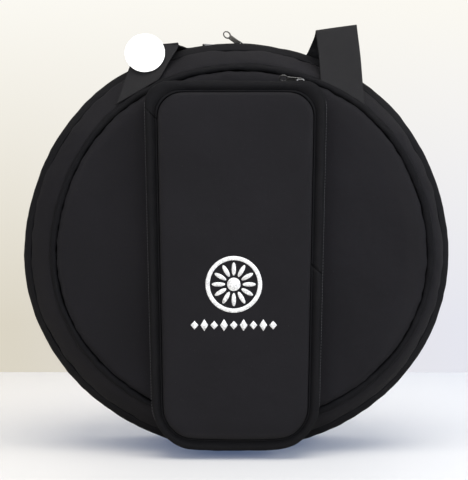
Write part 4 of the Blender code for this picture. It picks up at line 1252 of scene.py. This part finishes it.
# The middle, by places along it and the way across
middle = (
    ((0.1270, -0.0350, 0.5300), (0.996, 0.0, 0.085)),
    ((0.1270, -0.0300, 0.5286), (0.996, 0.0, 0.085)),
    ((0.1258, -0.0169, 0.5235), (0.996, 0.0, 0.084)),
    ((0.1222, 0.0000, 0.5160), (0.980, 0.180, 0.083)),
    ((0.1172, 0.0100, 0.5092), (0.908, 0.413, 0.077)),
    ((0.1105, 0.0190, 0.5042), (0.781, 0.621, 0.066)),
    ((0.1015, 0.0262, 0.5030), (0.608, 0.792, 0.051)),
    ((0.0920, 0.0318, 0.5054), (0.398, 0.917, 0.034)),
    ((0.0815, 0.0358, 0.5082), (0.252, 0.967, 0.021)),
    ((0.0700, 0.0385, 0.5112), (0.100, 0.995, 0.008)),
    ((0.0553, 0.0393, 0.5148), (0.050, 0.999, 0.004)),
    ((0.0400, 0.0392, 0.5175), (0.0, 1.0, 0.0)),
    ((0.0120, 0.0392, 0.5204), (0.0, 1.0, 0.0)),
    ((-0.0270, 0.0392, 0.5194), (0.0, 1.0, 0.0)),
    ((-0.0520, 0.0372, 0.5157), (-0.119, 0.993, -0.010)),
    ((-0.0627, 0.0345, 0.5138), (-0.262, 0.965, -0.022)),
    ((-0.0720, 0.0302, 0.5124), (-0.398, 0.917, -0.034)),
    ((-0.0797, 0.0235, 0.5119), (-0.608, 0.792, -0.051)),
    ((-0.0860, 0.0152, 0.5118), (-0.781, 0.621, -0.066)),
    ((-0.0912, 0.0052, 0.5116), (-0.895, 0.440, -0.076)),
    ((-0.0950, -0.0048, 0.5112), (-0.967, 0.239, -0.082)),
    ((-0.0968, -0.0133, 0.5108), (-0.989, 0.121, -0.084)),
    ((-0.0975, -0.0209, 0.5104), (-0.996, 0.0, -0.084)),
    ((-0.0981, -0.0300, 0.5103), (-0.996, 0.0, -0.085)),
    ((-0.0981, -0.0350, 0.5108), (-0.996, 0.0, -0.085)),
)


def from_edges(pair):
    """Place and half width of the strap between its two edges."""
    near, far = Vector(pair[0]), Vector(pair[1])
    return (near + far) / 2, (far - near) / 2


def from_line(pair):
    """Place and half width of the strap at a point of its middle line."""
    return Vector(pair[0]), Vector(pair[1]).normalized() * HALF_WIDTH


def eased(before, start, end, after, share):
    """A point between start and end on a smooth line through all four."""
    a = (end - before) / 2
    b = (after - start) / 2
    c = end - start
    return start + a * share + (c * 3 - a * 2 - b) * share**2 + (a + b - c * 2) * share**3


stations = [from_edges(pair) for pair in right_leg] + [from_line(pair) for pair in middle]
stations += [from_edges(pair) for pair in left_leg]
ends_twice = [stations[0]] + stations + [stations[-1]]
run = []
for four in zip(ends_twice, ends_twice[1:], ends_twice[2:], ends_twice[3:]):
    for step in range(STRAP_STEPS):
        share = step / STRAP_STEPS
        run.append([eased(*(station[part] for station in four), share) for part in (0, 1)])
run.append(stations[-1])


def ahead_at(index):
    """Way the strap runs at a place along it."""
    return run[min(index + 1, len(run) - 1)][0] - run[max(index - 1, 0)][0]


profile = ((-1.0, 0.45), (-0.985, 0.9), (-0.93, 1.0), (-0.5, 1.0), (0.0, 1.0))
profile += tuple((-across, rise) for across, rise in reversed(profile[:-1]))
profile += tuple((across, -rise) for across, rise in reversed(profile))
rows = []
travelled = [0.0]
centres = KDTree(len(run))
for index, (place, half) in enumerate(run):
    up = half.cross(ahead_at(index)).normalized() * HALF_THICKNESS
    if index:
        travelled.append(travelled[-1] + (place - run[index - 1][0]).length)
    rows.append([place + half * across + up * rise for across, rise in profile])
    centres.insert(place, index)
centres.balance()
bm = sagged(loft(rows, False), height=0.0008, length=0.045, seed=9.4)
layer = bm.loops.layers.uv.verify()
for strap_face in bm.faces:
    home = centres.find(strap_face.calc_center_median())[1]
    place, half = run[home]
    for loop in strap_face.loops:
        offset = loop.vert.co - place
        along = travelled[home] + offset.dot(ahead_at(home).normalized())
        loop[layer].uv = (offset.dot(half.normalized()), along)
wear_and_light_marks(bm, 0.35)
strap = placed(bm, "webbing_strap", webbing)
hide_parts("handle_leg_right", "handle_leg_left", "handle_middle")
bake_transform(strap)

# ---------------------------------------------------------------- Metal sliders and pulls, tag
# Nickelled die-cast sliders and pulls, worn dull in places, and a white card tag on a plastic
# fastener through the strap. Two pulls lie turned to the front, and the rest keep the frame's
# shape.
nickel, tree, shader, dull = grained("nickelled_metal", 0.22, 0.25, 320.0, 4.0, 0.6)
tone = mixed(tree, dull, (0.055, 0.054, 0.055, 1.0), (0.17, 0.168, 0.165, 1.0))
feed(tree, shader, {"Base Color": tone, "Metallic": 1.0})
card = plain_stuff("white_card", (0.86, 0.86, 0.86), 0.4, 0.1, 260.0, 3.0)
clear_nylon = plain_stuff("milky_nylon", (0.75, 0.75, 0.74), 0.3, 0.1, 300.0)

PULL_THICKNESS = 0.0012
PULL_EDGE = 0.0002
RING_STEPS = 16
EYE_STEPS = 20


def zip_pull(name, place, lift, turn, length):
    """Flat cast pull: a leaf with a window over the slider's bail and an oval ring at its tip."""
    tip = length - 0.0056
    outline = [(-0.0008, 0.0036), (0.0062, 0.0036), (0.0100, 0.0031)]
    for step in range(RING_STEPS + 1):
        angle = math.radians(140.0 - 280.0 * step / RING_STEPS)
        outline.append((tip + 0.0056 * math.cos(angle), 0.0047 * math.sin(angle)))
    outline += [(0.0100, -0.0031), (0.0062, -0.0036), (-0.0008, -0.0036)]
    eye = []
    for step in range(EYE_STEPS):
        angle = math.tau * step / EYE_STEPS
        eye.append((tip + 0.0003 + 0.0039 * math.cos(angle), 0.0031 * math.sin(angle)))
    window = [(0.0008, 0.0022), (0.0058, 0.0022), (0.0058, -0.0022), (0.0008, -0.0022)]
    bm = bmesh.new()
    for loop in (outline, eye, window):
        row = [bm.verts.new((along, across, -PULL_THICKNESS / 2)) for along, across in loop]
        for pair in zip(row, row[1:] + row[:1]):
            bm.edges.new(pair)
    bmesh.ops.triangle_fill(bm, use_beauty=True, edges=bm.edges[:])
    grown = bmesh.ops.extrude_face_region(bm, geom=bm.faces[:])["geom"]
    raised = [item for item in grown if isinstance(item, bmesh.types.BMVert)]
    bmesh.ops.translate(bm, verts=raised, vec=(0.0, 0.0, PULL_THICKNESS))
    faced_out(bm)
    sharp = []
    for edge in bm.edges:
        level = abs(edge.verts[0].co.z - edge.verts[1].co.z) < 0.0001
        if level and abs(edge.calc_face_angle(0.0)) > 1.0 and edge.calc_length() > 0.0003:
            sharp.append(edge)
    softened(bm, PULL_EDGE, 2, sharp)
    reach = Vector((-math.cos(lift), 0.0, math.sin(lift)))
    upward = Vector((math.sin(lift), 0.0, math.cos(lift)))
    across = Vector((0.0, -1.0, 0.0)) * math.cos(turn) + upward * math.sin(turn)
    frame_in = Matrix((reach, across, reach.cross(across))).transposed().to_4x4()
    frame_in.translation = Vector(place)
    bmesh.ops.transform(bm, matrix=frame_in, verts=bm.verts[:])
    return placed(faced_out(bm), name, nickel)


for name, node, place, lift, turn, length in (
    ("main_zip_pull", "main_pull_right", (0.009682, -0.00285, 0.514225), 36.0, 64.0, 0.031),
    ("pocket_zip_pull", "pocket_pull", (0.079519, -0.07615, 0.4601), 8.0, 62.0, 0.0265),
):
    pull = zip_pull(name, place, math.radians(lift), math.radians(turn), length)
    pull.data.polygons.foreach_set("use_smooth", [False] * len(pull.data.polygons))
    joined_on(pull, node, "metal", node)

for name, surface in (
    ("main_slider_right", nickel),
    ("main_slider_left", nickel),
    ("main_pull_left", nickel),
    ("pocket_slider", nickel),
    ("hang_tag", card),
    ("tag_pin", clear_nylon),
):
    part = bpy.data.objects[name]
    part.data.materials.clear()
    part.data.materials.append(surface)
